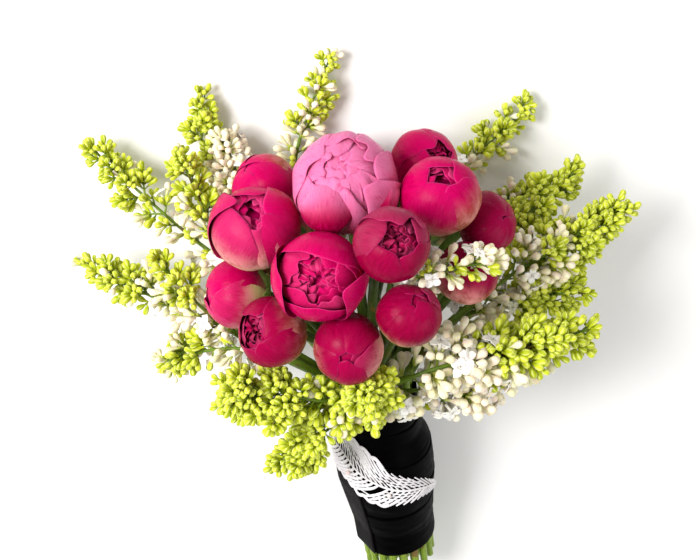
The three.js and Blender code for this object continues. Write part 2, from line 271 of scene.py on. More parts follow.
def tube(
    path: Array, wide: Array | float, sides: int, tint: Sequence[float] = (0, 0, 0, 0),
    deep: Array | float | None = None, up: Array | None = None, lumps: Array | None = None,
) -> Surface:
    """Sweeps a closed round or oval tube along a path.

    Args:
        path: (n, 3) points.
        wide: the half width at each point.
        sides: how many sides it has.
        tint: numbers for the finish; the first is overwritten by the share along the path.
        deep: the half depth at each point, or None where it is round.
        up: (n, 3) directions in which deep is measured.
        lumps: (n, sides) factors on the size.

    Returns:
        The closed surface.
    """
    n = len(path)
    side, other = sweep_frames(path, up)
    wide = np.broadcast_to(np.asarray(wide, float), n)
    deep = wide if deep is None else np.broadcast_to(np.asarray(deep, float), n)
    turn = round_turns(sides)
    scale = 1.0 if lumps is None else lumps[..., None]
    ring = path[:, None] + scale * (
        np.cos(turn)[None, :, None] * (side * wide[:, None])[:, None]
        + np.sin(turn)[None, :, None] * (other * deep[:, None])[:, None]
    )
    points = np.concatenate([ring.reshape(-1, 3), path[:1], path[-1:]])
    j = np.arange(sides)
    k = (j + 1) % sides
    first, last, low, high = n * sides, n * sides + 1, j, (n - 1) * sides + j
    caps = np.concatenate(
        [np.stack([np.full(sides, first), k, low], -1), np.stack([np.full(sides, last), high, high - j + k], -1)]
    )
    run = run_along(path)
    uv = np.empty((n * sides + 2, 2))
    uv[:-2, 0] = np.tile(j * 2 * math.pi * float(wide.mean()) / sides, n) * CM
    uv[:-2, 1] = np.repeat(run * CM, sides)
    uv[-2:] = [[0, 0], [0, run[-1] * CM]]
    data = np.tile(np.asarray(tint, float), (n * sides + 2, 1))
    data[:-2, 0], data[-2:, 0] = np.repeat(run / run[-1], sides), (0, 1)
    mark = np.zeros(n * sides + 2)
    mark[-2:] = 1
    return Surface(points, [grid_faces(n, sides, True), caps], uv, data, mark)


def curve_through(points: Array, step: float, *values: Array) -> tuple[Array, ...]:
    """Draws a smooth curve through points, with values that follow it.

    Args:
        points: (n, 3) points.
        step: about how far apart the new points are.
        values: (n,) numbers at the points.

    Returns:
        The new points, and the new values.
    """
    ends = np.vstack([2 * points[0] - points[1], points, 2 * points[-1] - points[-2]])
    out, carried = [], [[] for _ in values]
    for k in range(len(points) - 1):
        a, b, c, d = ends[k : k + 4]
        cuts = max(1, round(float(np.linalg.norm(c - b)) / step))
        t = np.linspace(0, 1, cuts, endpoint=False)[:, None]
        out.append(
            ((-t**3 + 2 * t**2 - t) * a + (3 * t**3 - 5 * t**2 + 2) * b
             + (-3 * t**3 + 4 * t**2 + t) * c + (t**3 - t**2) * d) / 2
        )
        for into, value in zip(carried, values):
            into.append(value[k] + (value[k + 1] - value[k]) * t[:, 0])
    out.append(points[-1:])
    return (np.concatenate(out), *(np.append(np.concatenate(c), v[-1]) for c, v in zip(carried, values)))


def scatter(shape: Surface, places: Array, turns: Array, tints: Array) -> Surface:
    """Repeats a small shape.

    Args:
        shape: the shape, at the origin.
        places: (n, 3) where each copy goes.
        turns: (n, 3, 3) how it is turned and scaled, with its own axes as rows.
        tints: (n, 2) what goes into the third and fourth tint numbers of each.

    Returns:
        All the copies as one surface.
    """
    APART = 37.0  # how far one copy's surface coordinates can lie from another's
    n, size = len(places), len(shape.points)
    points = np.einsum("vi,nij->nvj", shape.points, turns) + places[:, None]
    tint = np.tile(shape.tint, (n, 1)).reshape(n, size, 4)
    tint[..., 2:] = tints[:, None]
    starts = (np.arange(n) * size)[:, None, None]
    faces = [(f[None] + starts).reshape(-1, f.shape[1]) for f in shape.faces]
    shift = np.repeat(tints[:, :1] * APART, size, 0)
    return Surface(
        points.reshape(-1, 3), faces, np.tile(shape.uv, (n, 1)) + shift, tint.reshape(-1, 4), np.tile(shape.mark, n)
    )


def aim(ways: Array, spins: Array, scales: Array) -> Array:
    """Builds the turns that point a shape's third axis in given ways.

    Args:
        ways: (n, 3) directions.
        spins: (n,) how far each copy is turned about its way, in radians.
        scales: (n,) sizes.

    Returns:
        (n, 3, 3) turns, with the shape's own axes as rows.
    """
    STEEP = 0.9  # over this, a way is too near the third axis to be crossed with it
    z = unit(ways)
    helper = np.where(np.abs(z[:, 2:]) < STEEP, [[0.0, 0.0, 1.0]], [[1.0, 0.0, 0.0]])
    x = unit(np.cross(helper, z))
    y = np.cross(z, x)
    c, s = np.cos(spins)[:, None], np.sin(spins)[:, None]
    return np.stack([c * x + s * y, c * y - s * x, z], 1) * scales[:, None, None]


# ---------------------------------------------------------------- the frame


@dataclass(frozen=True)
class Strand:
    """The middle line of a CAD stem or sprig.

    Attributes:
        points: (n, 3) from the cut end to the tip.
        radii: (n,) how far the solid reaches from each.
    """

    points: Array
    radii: Array

    @classmethod
    def read(cls, node: str) -> "Strand":
        """Reads the rings of a CAD rod, one after the other from its cut end.

        Args:
            node: the CAD node.

        Returns:
            Its middle line.
        """
        CUT_REACH = 0.005  # the cut face's rim is within this of its lowest point along the table
        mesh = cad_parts[node].data
        co = np.array([v.co for v in mesh.vertices], float)
        _, first, same = np.unique(np.round(co, 5), axis=0, return_index=True, return_inverse=True)
        co, same = co[first], same.ravel()
        edges = np.unique(np.sort(same[np.array([e.vertices[:] for e in mesh.edges])], axis=1), axis=0)
        seen = co[:, 1] < co[:, 1].min() + CUT_REACH
        ring, points, radii = seen.copy(), [], []
        while ring.any():
            if ring.sum() > 1:
                middle = (co[ring].min(0) + co[ring].max(0)) / 2 if ring.sum() < 3 else co[ring].mean(0)
                points.append(middle)
                radii.append(float(np.linalg.norm(co[ring] - middle, axis=1).max()))
            touched = np.zeros(len(co), bool)
            touched[edges[ring[edges[:, 0]], 1]] = True
            touched[edges[ring[edges[:, 1]], 0]] = True
            ring = touched & ~seen
            seen |= ring
        return cls(np.array(points), np.array(radii))


@dataclass(frozen=True)
class Handle:
    """The bunch's own axes, read from the stem in the middle of the handle.

    Attributes:
        centre: the middle of the flower dome.
        out: the way from the cut ends out of the flower head.
        right: across the bunch, along the table.
        up: across the bunch, away from the table.
    """

    centre: Array
    out: Array
    right: Array
    up: Array

    MIDDLE_STEM = "peony_stem_01"
    LENGTH = 0.268  # from the cut ends to the middle of the dome

    @classmethod
    def read(cls) -> "Handle":
        """Finds the axes from the frame.

        Returns:
            The bunch's axes.
        """
        line = Strand.read(cls.MIDDLE_STEM).points
        out = unit(line[1] - line[0])
        right = np.array([1.0, 0.0, 0.0])
        return cls(line[0] + out * cls.LENGTH, out, right, np.cross(right, out))

    def way(self, turn: float, lean: float) -> Array:
        """Gives a direction by its turn round the bunch and its lean from the axis, in degrees."""
        t, a = math.radians(turn), math.radians(lean)
        return self.out * math.cos(a) + math.sin(a) * (self.right * math.sin(t) + self.up * math.cos(t))

    def place(self, turn: Array, radius: Array, below: Array) -> Array:
        """Gives points round the handle.

        Args:
            turn: degrees round it, 0 up and 90 right.
            radius: distance from its axis.
            below: distance below the middle of the dome.

        Returns:
            The places, with a last axis of three.
        """
        t = np.radians(np.asarray(turn, float))[..., None]
        round_it = self.right * np.sin(t) + self.up * np.cos(t)
        return self.centre + round_it * np.asarray(radius)[..., None] - self.out * np.asarray(below)[..., None]

    def measure(self, points: Array) -> tuple[Array, Array, Array]:
        """Gives the turn, radius and distance below the dome of each point.

        Args:
            points: (n, 3) places.

        Returns:
            (n,) turns in degrees, (n,) radii and (n,) distances.
        """
        off = points - self.centre
        x, y = off @ self.right, off @ self.up
        return np.degrees(np.arctan2(x, y)), np.hypot(x, y), -(off @ self.out)


@dataclass(frozen=True)
class Eye:
    """Where the bunch is looked at from.

    Attributes:
        handle: the bunch's axes.
        pitch: how far the sight line leans from straight on to the handle, in degrees.
        roll: how far the bunch is turned in the view, in degrees.
        distance: how far the eye is from the middle of the dome.
        lens_mm: the focal length.
        sensor_mm: the width of the sensor.
        aside, lower: how far right and up the view's middle is from that of the dome.
    """

    handle: Handle
    pitch: float = 38.0
    roll: float = 9.5
    distance: float = 0.9
    lens_mm: float = 77.14
    sensor_mm: float = 36.0
    aside: float = -0.6 * MM
    lower: float = -18 * MM

    def axes(self) -> tuple[Array, Array, Array]:
        """Gives the view's right and up, and the way back to the eye.

        Returns:
            Three directions of length one.
        """
        h, p, r = self.handle, math.radians(self.pitch), math.radians(self.roll)
        tall = h.out * math.cos(p) - h.up * math.sin(p)
        back = h.up * math.cos(p) + h.out * math.sin(p)
        right = h.right * math.cos(r) - tall * math.sin(r)
        return right, h.right * math.sin(r) + tall * math.cos(r), back

    def build(self) -> None:
        """Makes the camera."""
        right, up, back = self.axes()
        place = self.handle.centre + right * self.aside + up * self.lower + back * self.distance
        data = bpy.data.cameras.new("eye")
        data.lens, data.sensor_width = self.lens_mm, self.sensor_mm
        data.clip_start, data.clip_end = 0.05, 20
        camera = bpy.data.objects.new("eye", data)
        camera.matrix_world = Matrix(
            [[*row, at] for row, at in zip(np.stack([right, up, back], 1).tolist(), place.tolist())] + [[0, 0, 0, 1]]
        )
        bpy.context.scene.collection.objects.link(camera)
        bpy.context.scene.camera = camera


# ---------------------------------------------------------------- finishes


class Bench:
    """Lays out the nodes of one material."""

    def __init__(self, name: str) -> None:
        """Makes the material with its shader.

        Args:
            name: the material's name.
        """
        self.material = bpy.data.materials.new(name)
        self.material.use_nodes = True
        self.tree = self.material.node_tree
        self.shader = self.tree.nodes["Principled BSDF"]

    def node(self, kind: str, inputs: dict[int | str, object] | None = None, **settings: object) -> bpy.types.Node:
        """Adds a node.

        Args:
            kind: the node's type, without its ShaderNode prefix.
            inputs: what goes into its sockets: a socket to link, or a value.
            settings: its other properties.

        Returns:
            The node.
        """
        made = self.tree.nodes.new("ShaderNode" + kind)
        for key, value in settings.items():
            setattr(made, key, value)
        for key, value in (inputs or {}).items():
            if isinstance(value, bpy.types.NodeSocket):
                self.tree.links.new(value, made.inputs[key])
            else:
                made.inputs[key].default_value = value
        return made

    def mark(self) -> bpy.types.NodeSocket:
        """Gives the mark of a surface: 0 outside or along, 1 inside or at an end."""
        return self.node("Attribute", attribute_name="mark").outputs["Fac"]

    def tint(self) -> list[bpy.types.NodeSocket]:
        """Gives the four tint numbers of a surface.

        Returns:
            Its sockets: red, green, blue and alpha.
        """
        source = self.node("Attribute", attribute_name="tint")
        split = self.node("SeparateColor", {0: source.outputs["Color"]})
        return [*split.outputs, source.outputs["Alpha"]]

    def sums(self, way: str, *values: object) -> bpy.types.NodeSocket:
        """Does one step of arithmetic, kept from 0 to 1."""
        return self.node("Math", dict(enumerate(values)), operation=way, use_clamp=True).outputs[0]

    def times(self, value: object, factor: object) -> bpy.types.NodeSocket:
        """Multiplies two values, kept from 0 to 1."""
        return self.sums("MULTIPLY", value, factor)

    def ease(self, value: object, low: float, high: float) -> bpy.types.NodeSocket:
        """Eases a value from 0 at low to 1 at high; low may be the greater."""
        inputs = {0: value, 1: low, 2: high, 3: 0.0, 4: 1.0}
        return self.node("MapRange", inputs, interpolation_type="SMOOTHSTEP").outputs[0]

    def mix(self, share: object, one: object, two: object) -> bpy.types.NodeSocket:
        """Mixes two colours, each a socket or the six digits of a screen colour."""
        one, two = [(*hex_colour(c), 1.0) if isinstance(c, str) else c for c in (one, two)]
        return self.node("Mix", {0: share, 6: one, 7: two}, data_type="RGBA").outputs[2]

    def ramp(self, value: object, *stops: tuple[float, str]) -> bpy.types.NodeSocket:
        """Looks a value up in a row of screen colours.

        Args:
            value: what is looked up, from 0 to 1.
            stops: where each colour stands, and its six digits.

        Returns:
            The colour.
        """
        made = self.node("ValToRGB", {0: value})
        while len(made.color_ramp.elements) < len(stops):
            made.color_ramp.elements.new(0.5)
        for element, (at, colour) in zip(made.color_ramp.elements, stops):
            element.position, element.color = at, (*hex_colour(colour), 1.0)
        return made.outputs[0]

    def surface(self, across: float, along: float) -> bpy.types.NodeSocket:
        """Gives the surface coordinates, in centimetres, with their own scale each way."""
        uv = self.node("UVMap", uv_map="surface")
        return self.node("Mapping", {0: uv.outputs[0], 3: (across, along, 1.0)}).outputs[0]

    def place(self) -> bpy.types.NodeSocket:
        """Gives the place in the bunch, in metres."""
        return self.node("TexCoord").outputs["Object"]

    def noise(self, at: object, scale: float, detail: float, rough: float) -> bpy.types.NodeSocket:
        """Gives cloudy noise about 0.5."""
        made = self.node("TexNoise", {"Vector": at, "Scale": scale, "Detail": detail, "Roughness": rough})
        return made.outputs[0]

    def bump(self, height: object, strength: float, distance: float) -> None:
        """Raises the surface by a height."""
        made = self.node("Bump", {"Height": height, "Strength": strength, "Distance": distance})
        self.tree.links.new(made.outputs[0], self.shader.inputs["Normal"])

    def finish(self, colour: bpy.types.NodeSocket, rough: object, **plain: object) -> bpy.types.Material:
        """Wires up the shader.

        Args:
            colour: the base colour.
            rough: the roughness, a number or a socket.
            plain: values set straight on the shader's sockets, by name with _ for spaces.

        Returns:
            The material.
        """
        self.tree.links.new(colour, self.shader.inputs["Base Color"])
        if isinstance(rough, bpy.types.NodeSocket):
            self.tree.links.new(rough, self.shader.inputs["Roughness"])
        else:
            self.shader.inputs["Roughness"].default_value = rough
        for key, value in plain.items():
            self.shader.inputs[key.replace("_", " ")].default_value = value
        return self.material


@dataclass(frozen=True)
class PetalFinish:
    """Peony petal: magenta with veins, a thin pale rim that is partly a painted highlight, a weathered tan foot, and
    painted shade that darkens it down towards the stalk.

    Attributes:
        name: the material's name.
        deep: painted shade, the darkest colour, low on the petal down between the others; also its darker veins.
        body: the colour of the petal.
        bright: the colour near its tip.
        blush, warm: the colours of pale petals.
        streak: the colour of its lighter veins.
        rim: the colour of its thin pale edge, partly its own margin and partly a painted highlight where light catches
            the edge.
        inner: the colour of its inside.
        tan, olive, cream, pale: the colours of the weathered foot.
        flush: the colour of the veins that run down into it.
    """

    name: str = "peony_petal"
    deep: str = "5A0018"
    body: str = "A4003E"
    bright: str = "BE0256"
    blush: str = "D9709C"
    warm: str = "C02A74"
    streak: str = "CE0F68"
    rim: str = "DC4890"
    inner: str = "98084E"
    tan: str = "A04A38"
    olive: str = "86702E"
    cream: str = "DC9690"
    pale: str = "CDBE7C"
    flush: str = "D2386A"

    def make(self) -> bpy.types.Material:
        """Lays out the nodes.

        Returns:
            The material.
        """
        b = Bench(self.name)
        height, rim, blush, foot = b.tint()
        veins = b.noise(b.surface(11, 0.9), 1.6, 4, 0.6)
        cloud = b.noise(b.surface(1, 0.7), 1.5, 3, 0.6)
        fine = b.noise(b.surface(26, 5), 2.0, 2, 0.5)
        blushing = b.times(b.ease(blush, 0.02, 0.95), b.ease(cloud, 0.1, 0.45))
        line = b.sums("MULTIPLY_ADD", foot, 0.72, b.times(b.sums("ADD", cloud, veins), 0.16))
        worn = b.ease(b.sums("SUBTRACT", line, height), 0.03, 0.36)
        earth = b.mix(b.ease(b.sums("MULTIPLY_ADD", blush, 1.4, cloud), 0.36, 0.8), self.tan, self.cream)
        earth = b.mix(b.times(b.ease(fine, 0.5, 0.7), 0.35), earth, self.olive)
        earth = b.mix(b.ease(height, 0.5, 0.2), earth, self.pale)
        earth = b.mix(b.ease(veins, 0.62, 0.78), earth, self.flush)
        # painted shade: the petal darkens from its tip down to the stalk, where it lies in the shade between the
        # petals
        body = b.ramp(height, (0.0, self.deep), (0.45, self.body), (0.95, self.bright))
        for share, colour in (
            (b.times(b.ease(veins, 0.5, 0.72), 0.5), self.streak),
            (b.times(b.ease(veins, 0.48, 0.3), 0.4), self.deep),
            (b.times(b.ease(cloud, 0.56, 0.8), 0.25), self.warm),
            (b.times(b.ease(fine, 0.6, 0.75), 0.22), self.warm),
            (b.times(b.mark(), 0.55), self.inner),
            (blushing, b.mix(b.ease(veins, 0.2, 0.5), self.warm, self.blush)),
            (b.times(worn, b.ease(foot, 0.02, 0.45)), earth),
            # a thin pale edge: partly the petal's own margin, partly a painted highlight
            (b.times(b.ease(rim, 0.12, 0.0), 0.4), self.rim),
        ):
            body = b.mix(share, body, colour)
        b.bump(b.sums("ADD", b.times(veins, 0.7), b.times(fine, 0.3)), 0.35, 0.4 * MM)
        return b.finish(
            body, b.ease(cloud, 0.1, 1.2), Specular_IOR_Level=0.05, Subsurface_Weight=0.06,
            Subsurface_Radius=(1.0, 0.1, 0.25), Subsurface_Scale=2 * MM,
        )


@dataclass(frozen=True)
class GreenFinish:
    """Stem or sepal green, with lengthwise streaks, brown specks, and painted shade up in the flower head.

    Attributes:
        name: the material's name.
        dark, light, bark: its colours.
        worn: how much of it is brown, from 0 to 1.
        shade: painted shade, the darker colour it takes on up in the flower head, where the blooms shade it.
        cut: the colour of its cut end.
    """

    name: str
    dark: str
    light: str
    bark: str
    worn: float
    shade: str
    cut: str = "D9E0A6"

    def make(self) -> bpy.types.Material:
        """Lays out the nodes.

        Returns:
            The material.
        """
        b = Bench(self.name)
        streak = b.noise(b.surface(14, 1.2), 1.8, 3, 0.6)
        patch = b.noise(b.place(), 60, 3, 0.6)
        green = b.mix(b.ease(streak, 0.3, 0.7), self.dark, self.light)
        brown = b.times(b.ease(patch, 0.62 - 0.2 * self.worn, 0.72 - 0.1 * self.worn), 0.85)
        # painted shade: darker along the part of the path that runs up into the flower head
        green = b.mix(b.times(b.ease(b.tint()[0], 0.42, 0.66), 0.85), green, self.shade)
        colour = b.mix(brown, green, self.bark)
        colour = b.mix(b.ease(b.mark(), 0.2, 0.9), colour, self.cut)
        b.bump(b.sums("ADD", streak, b.times(patch, 0.5)), 0.4, 0.3 * MM)
        return b.finish(
            colour, b.ease(patch, -0.3, 1.3), Specular_IOR_Level=0.4, Subsurface_Weight=0.1,
            Subsurface_Radius=(0.4, 1.0, 0.1), Subsurface_Scale=1.5 * MM,
        )


@dataclass(frozen=True)
class LilacFinish:
    """Lilac buds: yellow-green beads with pale seams, that turn cream as they open.

    Attributes:
        dark, light: the greens.
        ridge: the colour along the four lobes.
        white, warm: the colours of an opening bud.
        tube: the colour of its tube.
    """

    dark: str = "A0AE14"
    light: str = "D4DC34"
    ridge: str = "E6EA8C"
    white: str = "F8F2D8"
    warm: str = "F4DECE"
    tube: str = "B9C45A"

    def make(self) -> bpy.types.Material:
        """Lays out the nodes.

        Returns:
            The material.
        """
        b = Bench("lilac_bud")
        height, ridge, chance, white = b.tint()
        cloud = b.noise(b.place(), 220, 2, 0.5)
        green = b.mix(chance, self.dark, self.light)
        green = b.mix(b.ease(height, 0.2, 0.9), b.mix(0.5, green, self.dark), green)
        green = b.mix(b.times(b.ease(ridge, 0.3, 1.0), 0.75), green, self.ridge)
        pale = b.mix(b.ease(cloud, 0.35, 0.7), self.white, self.warm)
        pale = b.mix(b.ease(height, 0.45, 0.1), pale, self.tube)
        b.bump(cloud, 0.3, 0.2 * MM)
        return b.finish(
            b.mix(white, green, pale), 0.5, Specular_IOR_Level=0.12, Subsurface_Weight=0.35,
            Subsurface_Radius=(1.0, 1.0, 0.4), Subsurface_Scale=2 * MM,
        )


@dataclass(frozen=True)
class FloretFinish:
    """Open lilac florets: white lobes round a dark brown throat, painted shade for the opening of the tube.

    Attributes:
        white, blush: the colours of the lobes.
        throat: painted shade, the dark of the tube's mouth, which the mesh closes, and of the lobes' feet round it.
    """

    white: str = "FCFAF2"
    blush: str = "F0DCD6"
    throat: str = "5E3413"

    def make(self) -> bpy.types.Material:
        """Lays out the nodes.

        Returns:
            The material.
        """
        b = Bench("lilac_floret")
        reach, _, chance, _ = b.tint()
        cloud = b.noise(b.place(), 260, 2, 0.5)
        colour = b.mix(b.times(b.ease(cloud, 0.4, 0.8), chance), self.white, self.blush)
        # painted shade: dark brown at the closed mouth of the tube and the feet of the lobes
        colour = b.mix(b.ease(reach, 0.22, 0.08), colour, self.throat)
        b.bump(cloud, 0.25, 0.2 * MM)
        return b.finish(
            colour, 0.5, Specular_IOR_Level=0.3, Subsurface_Weight=0.2,
            Subsurface_Radius=(1.0, 0.9, 0.8), Subsurface_Scale=1.5 * MM,
        )


@dataclass(frozen=True)
class ClothFinish:
    """Woven cloth or twine.

    Attributes:
        name: the material's name.
        dark, light: its two colours.
        rough: its roughness.
        sheen: how much it glows where it turns away.
        across, along: threads to a centimetre each way.
        raise_mm: how high the threads stand.
        gloss: how much it mirrors.
    """

    name: str
    dark: str
    light: str
    rough: float
    sheen: float
    across: float
    along: float
    raise_mm: float
    gloss: float = 0.15

    THREAD = math.pi / 20  # the wave texture's scale for one thread a centimetre

    def make(self) -> bpy.types.Material:
        """Lays out the nodes.

        Returns:
            The material.
        """
        b = Bench(self.name)
        weft, warp = (
            b.node(
                "TexWave", {"Vector": at, "Scale": count * self.THREAD, "Distortion": 0.6}, bands_direction=way,
            ).outputs["Fac"]
            for at, count, way in ((b.surface(0.001, 1), self.along, "Y"), (b.surface(1, 0.001), self.across, "X"))
        )
        worn = b.noise(b.place(), 90, 4, 0.6)
        threads = b.sums("MULTIPLY_ADD", weft, 0.6, b.times(warp, 0.4))
        share = b.times(b.ease(worn, 0.3, 0.75), b.ease(threads, -0.2, 1.0))
        colour = b.mix(share, self.dark, self.light)
        b.bump(threads, 0.5, self.raise_mm * MM)
        return b.finish(
            colour, b.ease(worn, -2 * self.rough, 3 - 2 * self.rough), Specular_IOR_Level=self.gloss,
            Sheen_Weight=self.sheen, Sheen_Roughness=0.35,
        )


@dataclass(frozen=True)
class PearlFinish:
    """Small pinkish pearls.

    Attributes:
        light, dark: the two colours.
    """

    light: str = "F6E3DC"
    dark: str = "EBCFC9"

    def make(self) -> bpy.types.Material:
        """Lays out the nodes.

        Returns:
            The material.
        """
        b = Bench("pearl")
        cloud = b.noise(b.place(), 300, 2, 0.5)
        colour = b.mix(b.ease(cloud, 0.3, 0.7), self.light, self.dark)
        return b.finish(colour, 0.25, Coat_Weight=0.6, Coat_Roughness=0.15)


@dataclass(frozen=True)
class FloorFinish:
    """The pale table top.

    Attributes:
        dark, light: the two colours.
    """

    dark: str = "F4F3F1"
    light: str = "F8F7F6"

    def make(self) -> bpy.types.Material:
        """Lays out the nodes.

        Returns:
            The material.
        """
        b = Bench("floor")
        cloud = b.noise(b.place(), 4, 2, 0.5)
        return b.finish(b.mix(cloud, self.dark, self.light), 0.8)


CRIMSON = PetalFinish(
    "peony_crimson", deep="3C000E", body="780026", bright="96023C", warm="A01C50", streak="A40A46", rim="BE3272",
    inner="70042E", tan="8C4434", olive="7A6A2C",
)
Finish = PetalFinish | GreenFinish | LilacFinish | FloretFinish | ClothFinish | PearlFinish


def made_once(finish: Finish) -> bpy.types.Material:
    """Gives a dataclass field that makes a finish's material when the class is built."""
    return field(default_factory=finish.make)


@dataclass
class Finishes:
    """Every material of the bunch."""

    petal: bpy.types.Material = made_once(PetalFinish())
    crimson: bpy.types.Material = made_once(CRIMSON)
    sepal: bpy.types.Material = made_once(GreenFinish("sepal", "4F6E22", "8FA845", "8A3B3E", 0.35, "4F6E22"))
    stem: bpy.types.Material = made_once(GreenFinish("peony_stem", "709A14", "B4D83C", "8A5A24", 0.25, "1A2808"))
    wood: bpy.types.Material = made_once(GreenFinish("lilac_stem", "5E7A14", "8FA832", "6E4A28", 0.3, "5F7A18"))
    bud: bpy.types.Material = made_once(LilacFinish())
    floret: bpy.types.Material = made_once(FloretFinish())
    ribbon: bpy.types.Material = made_once(
        ClothFinish("ribbon_satin", "000000", "030203", 0.5, 0.0, 60, 60, 0.02, 0.02))
    # the ribbon's back: a little lighter than its face, partly its own dull colour and partly painted light for the
    # flat down the handle
    ribbon_back_painted_light: bpy.types.Material = made_once(
        ClothFinish("ribbon_back_painted_light", "050304", "100A0E", 0.7, 0.02, 60, 60, 0.03, 0.05))
    lace: bpy.types.Material = made_once(ClothFinish("lace_thread", "DDD8DA", "FFFFFF", 0.75, 0.2, 16, 16, 0.12))
    twine: bpy.types.Material = made_once(ClothFinish("twine_fibre", "A07C48", "C9A873", 0.85, 0.2, 8, 10, 0.3))
    pearl: bpy.types.Material = made_once(PearlFinish())


# ---------------------------------------------------------------- peonies


@dataclass(frozen=True)
class Petal:
    """One petal, as a patch of the bloom's ball.

    Attributes:
        turn: degrees round the bloom to its middle, 0 right and 90 up as it is looked at.
        spread: half its width, in degrees of the ball.
        tip: how far it reaches from the stalk over the ball, in degrees; 180 is the top.
        radius: its distance from the middle, as a share of the bloom's.
        flare: how far its top stands out, as a share of the radius.
        rounded: how much shorter its sides are than its middle.
        point: how far its middle stands up beyond that.
        frill: how ragged its top edge is.
        wave_mm: how far its margin waves in and out.
        pleat_mm: how deep its lengthwise folds are.
        tilt_mm: how far one side lies over the next petal.
        curl_mm: how far its margin turns out.
        blush: how pale it is.
        blush_from: how far along it the paleness begins.
        foot: how far up from the stalk it is tan, 1 for two thirds of the way.
        puff_mm: how far its middle swells out between its sides.
        root: where it starts, in degrees from the stalk.
        cells: (along, across) how fine its mesh is.
    """

    turn: float
    spread: float
    tip: float
    radius: float = 1.0
    flare: float = 0.0
    rounded: float = 0.3
    point: float = 0.0
    frill: float = 0.015
    wave_mm: float = 0.35
    pleat_mm: float = 0.15
    tilt_mm: float = 0.5
    curl_mm: float = 0.15
    blush: float = 0.0
    blush_from: float = -0.15
    foot: float = 0.0
    puff_mm: float = 1.3
    root: float = 6.0
    cells: tuple[int, int] = (24, 28)

    THICK = 0.38 * MM  # in its middle
    THIN = 0.35  # how thick its margin is, as a share of that
    MARGIN = 0.16  # how broad its margin is, in radians of the ball
    RIM = 6 * MM  # how far in from the edge the finish's rim number reaches 1
    BLUSH_RISE = 0.8  # the share of its length over which it grows pale
    LOWEST = 0.6 * MM  # how near it comes to the table
    APART = 40.0  # how far one petal's surface coordinates can lie from another's
    UNEVEN = 0.04  # how far a bloom is from round, as a share of its radius

    def shape(self, ball: "Ball", rng: np.random.Generator) -> Surface:
        """Builds the petal.

        Args:
            ball: the bloom it belongs to.
            rng: the random numbers.

        Returns:
            A thin closed surface.
        """
        v, u = np.meshgrid(np.linspace(0, 1, self.cells[0]), np.linspace(-1, 1, self.cells[1]), indexing="ij")
        u = np.sign(u) * (1 - (1 - np.abs(u)) ** 1.25)
        v = 1 - (1 - v) ** 1.2
        edge_line, height, folds = Ripple(rng, 3, 14, 7), Ripple(rng, 3, 8), Ripple(rng, 4, 9, 3)
        reach = math.radians(self.tip - self.root)
        half = math.radians(self.spread) * (0.2 + 0.8 * smooth(v, 0, 0.5))
        top = 1 - self.rounded * np.abs(u) ** 2.4 + self.point * np.exp(-((u / 0.3) ** 2))
        top = top + self.frill * edge_line(u)
        phi, beta = math.radians(self.root) + v * reach * top, u * half
        rim = np.minimum((1 - np.abs(u)) * half, (1 - v) * reach * top)
        margin = np.exp(-rim / self.MARGIN)
        r = self.radius * ball.radius * (1 + self.flare * smooth(v, 0.45, 1.05) ** 1.5)
        r = r + MM * (
            self.tilt_mm * u + self.wave_mm * margin * height(u, v * 2) + self.curl_mm * margin**2
            + self.pleat_mm * folds(u * 1.6, 0) * smooth(v, 0.05, 0.7)
            + self.puff_mm * ((1 - u**2) * np.sin(math.pi * np.clip(v, 0, 1)) ** 0.7 - 0.7)
        )
        t = math.radians(self.turn)
        middle = ball.x * math.cos(t) + ball.y * math.sin(t)
        aside = ball.y * math.cos(t) - ball.x * math.sin(t)
        way = np.cos(beta)[..., None] * (
            np.sin(phi)[..., None] * middle - np.cos(phi)[..., None] * ball.z * ball.squat
        ) + np.sin(beta)[..., None] * aside
        r = r * (1 + self.UNEVEN * (np.sin(3.1 * way + ball.centre * 400) @ np.array([0.4, 0.3, 0.3])))
        grid = ball.centre + way * r[..., None]
        grid[..., 2] = np.maximum(grid[..., 2], self.LOWEST)
        uv = np.stack([beta * r * CM, phi * r * CM], -1) + rng.uniform(0, self.APART, 2)
        tint = np.stack([
            phi / math.pi, np.clip(rim * ball.radius / self.RIM, 0, 1),
            self.blush * smooth(v, self.blush_from, self.blush_from + self.BLUSH_RISE), np.full_like(u, self.foot),
        ], -1)
        return thin_solid(grid, self.THICK * (self.THIN + (1 - self.THIN) * (1 - margin)), uv, tint)


@dataclass(frozen=True)
class Ball:
    """The ball that a bloom fills, with its own axes.

    Attributes:
        centre: its middle.
        radius: its greatest radius.
        x: right, as the bloom is looked at.
        y: up, as it is looked at.
        z: the way that it faces.
        squat: its height as a share of its width.
    """

    centre: Array
    radius: float
    x: Array
    y: Array
    z: Array
    squat: float = 0.97

    CAD_TOP = 0.93  # the CAD bloom's top and foot, as shares of its radius
    CAD_FOOT = 1.0
    SNUG = 0.96  # the petals' ball in the CAD bloom

    @classmethod
    def read(cls, node: str, facing: Array, right: Array) -> "Ball":
        """Fits the ball to a CAD bloom.

        Args:
            node: the CAD node.
            facing: about the way that it faces.
            right: the way that counts as right.

        Returns:
            The ball.
        """
        co = node_points(node)
        along = co @ facing
        foot, top = co[along.argmin()], co[along.argmax()]
        span = float(np.linalg.norm(top - foot)) / (cls.CAD_TOP + cls.CAD_FOOT)
        z = unit(top - foot)
        x = unit(right - z * np.dot(right, z))
        return cls(foot + z * span * cls.CAD_FOOT, span * cls.SNUG, x, np.cross(z, x), z)

    def nodded(self, aside: float, rise: float) -> "Ball":
        """Gives the same ball with its axes leaned.

        Args:
            aside: how far right, in degrees.
            rise: how far up, in degrees.

        Returns:
            The ball.
        """
        z = unit(self.z + self.x * math.tan(math.radians(aside)) + self.y * math.tan(math.radians(rise)))
        x = unit(self.x - z * np.dot(self.x, z))
        return Ball(self.centre, self.radius, x, np.cross(z, x), z, self.squat)


class Form(Enum):
    """How far a bloom has opened."""

    BUD = "tight, with its petals closed over the top"
    SLIT = "with a small dark opening"
    CUP = "with a wide opening full of folded petals"
    FULL = "a full ball of pale layered petals"


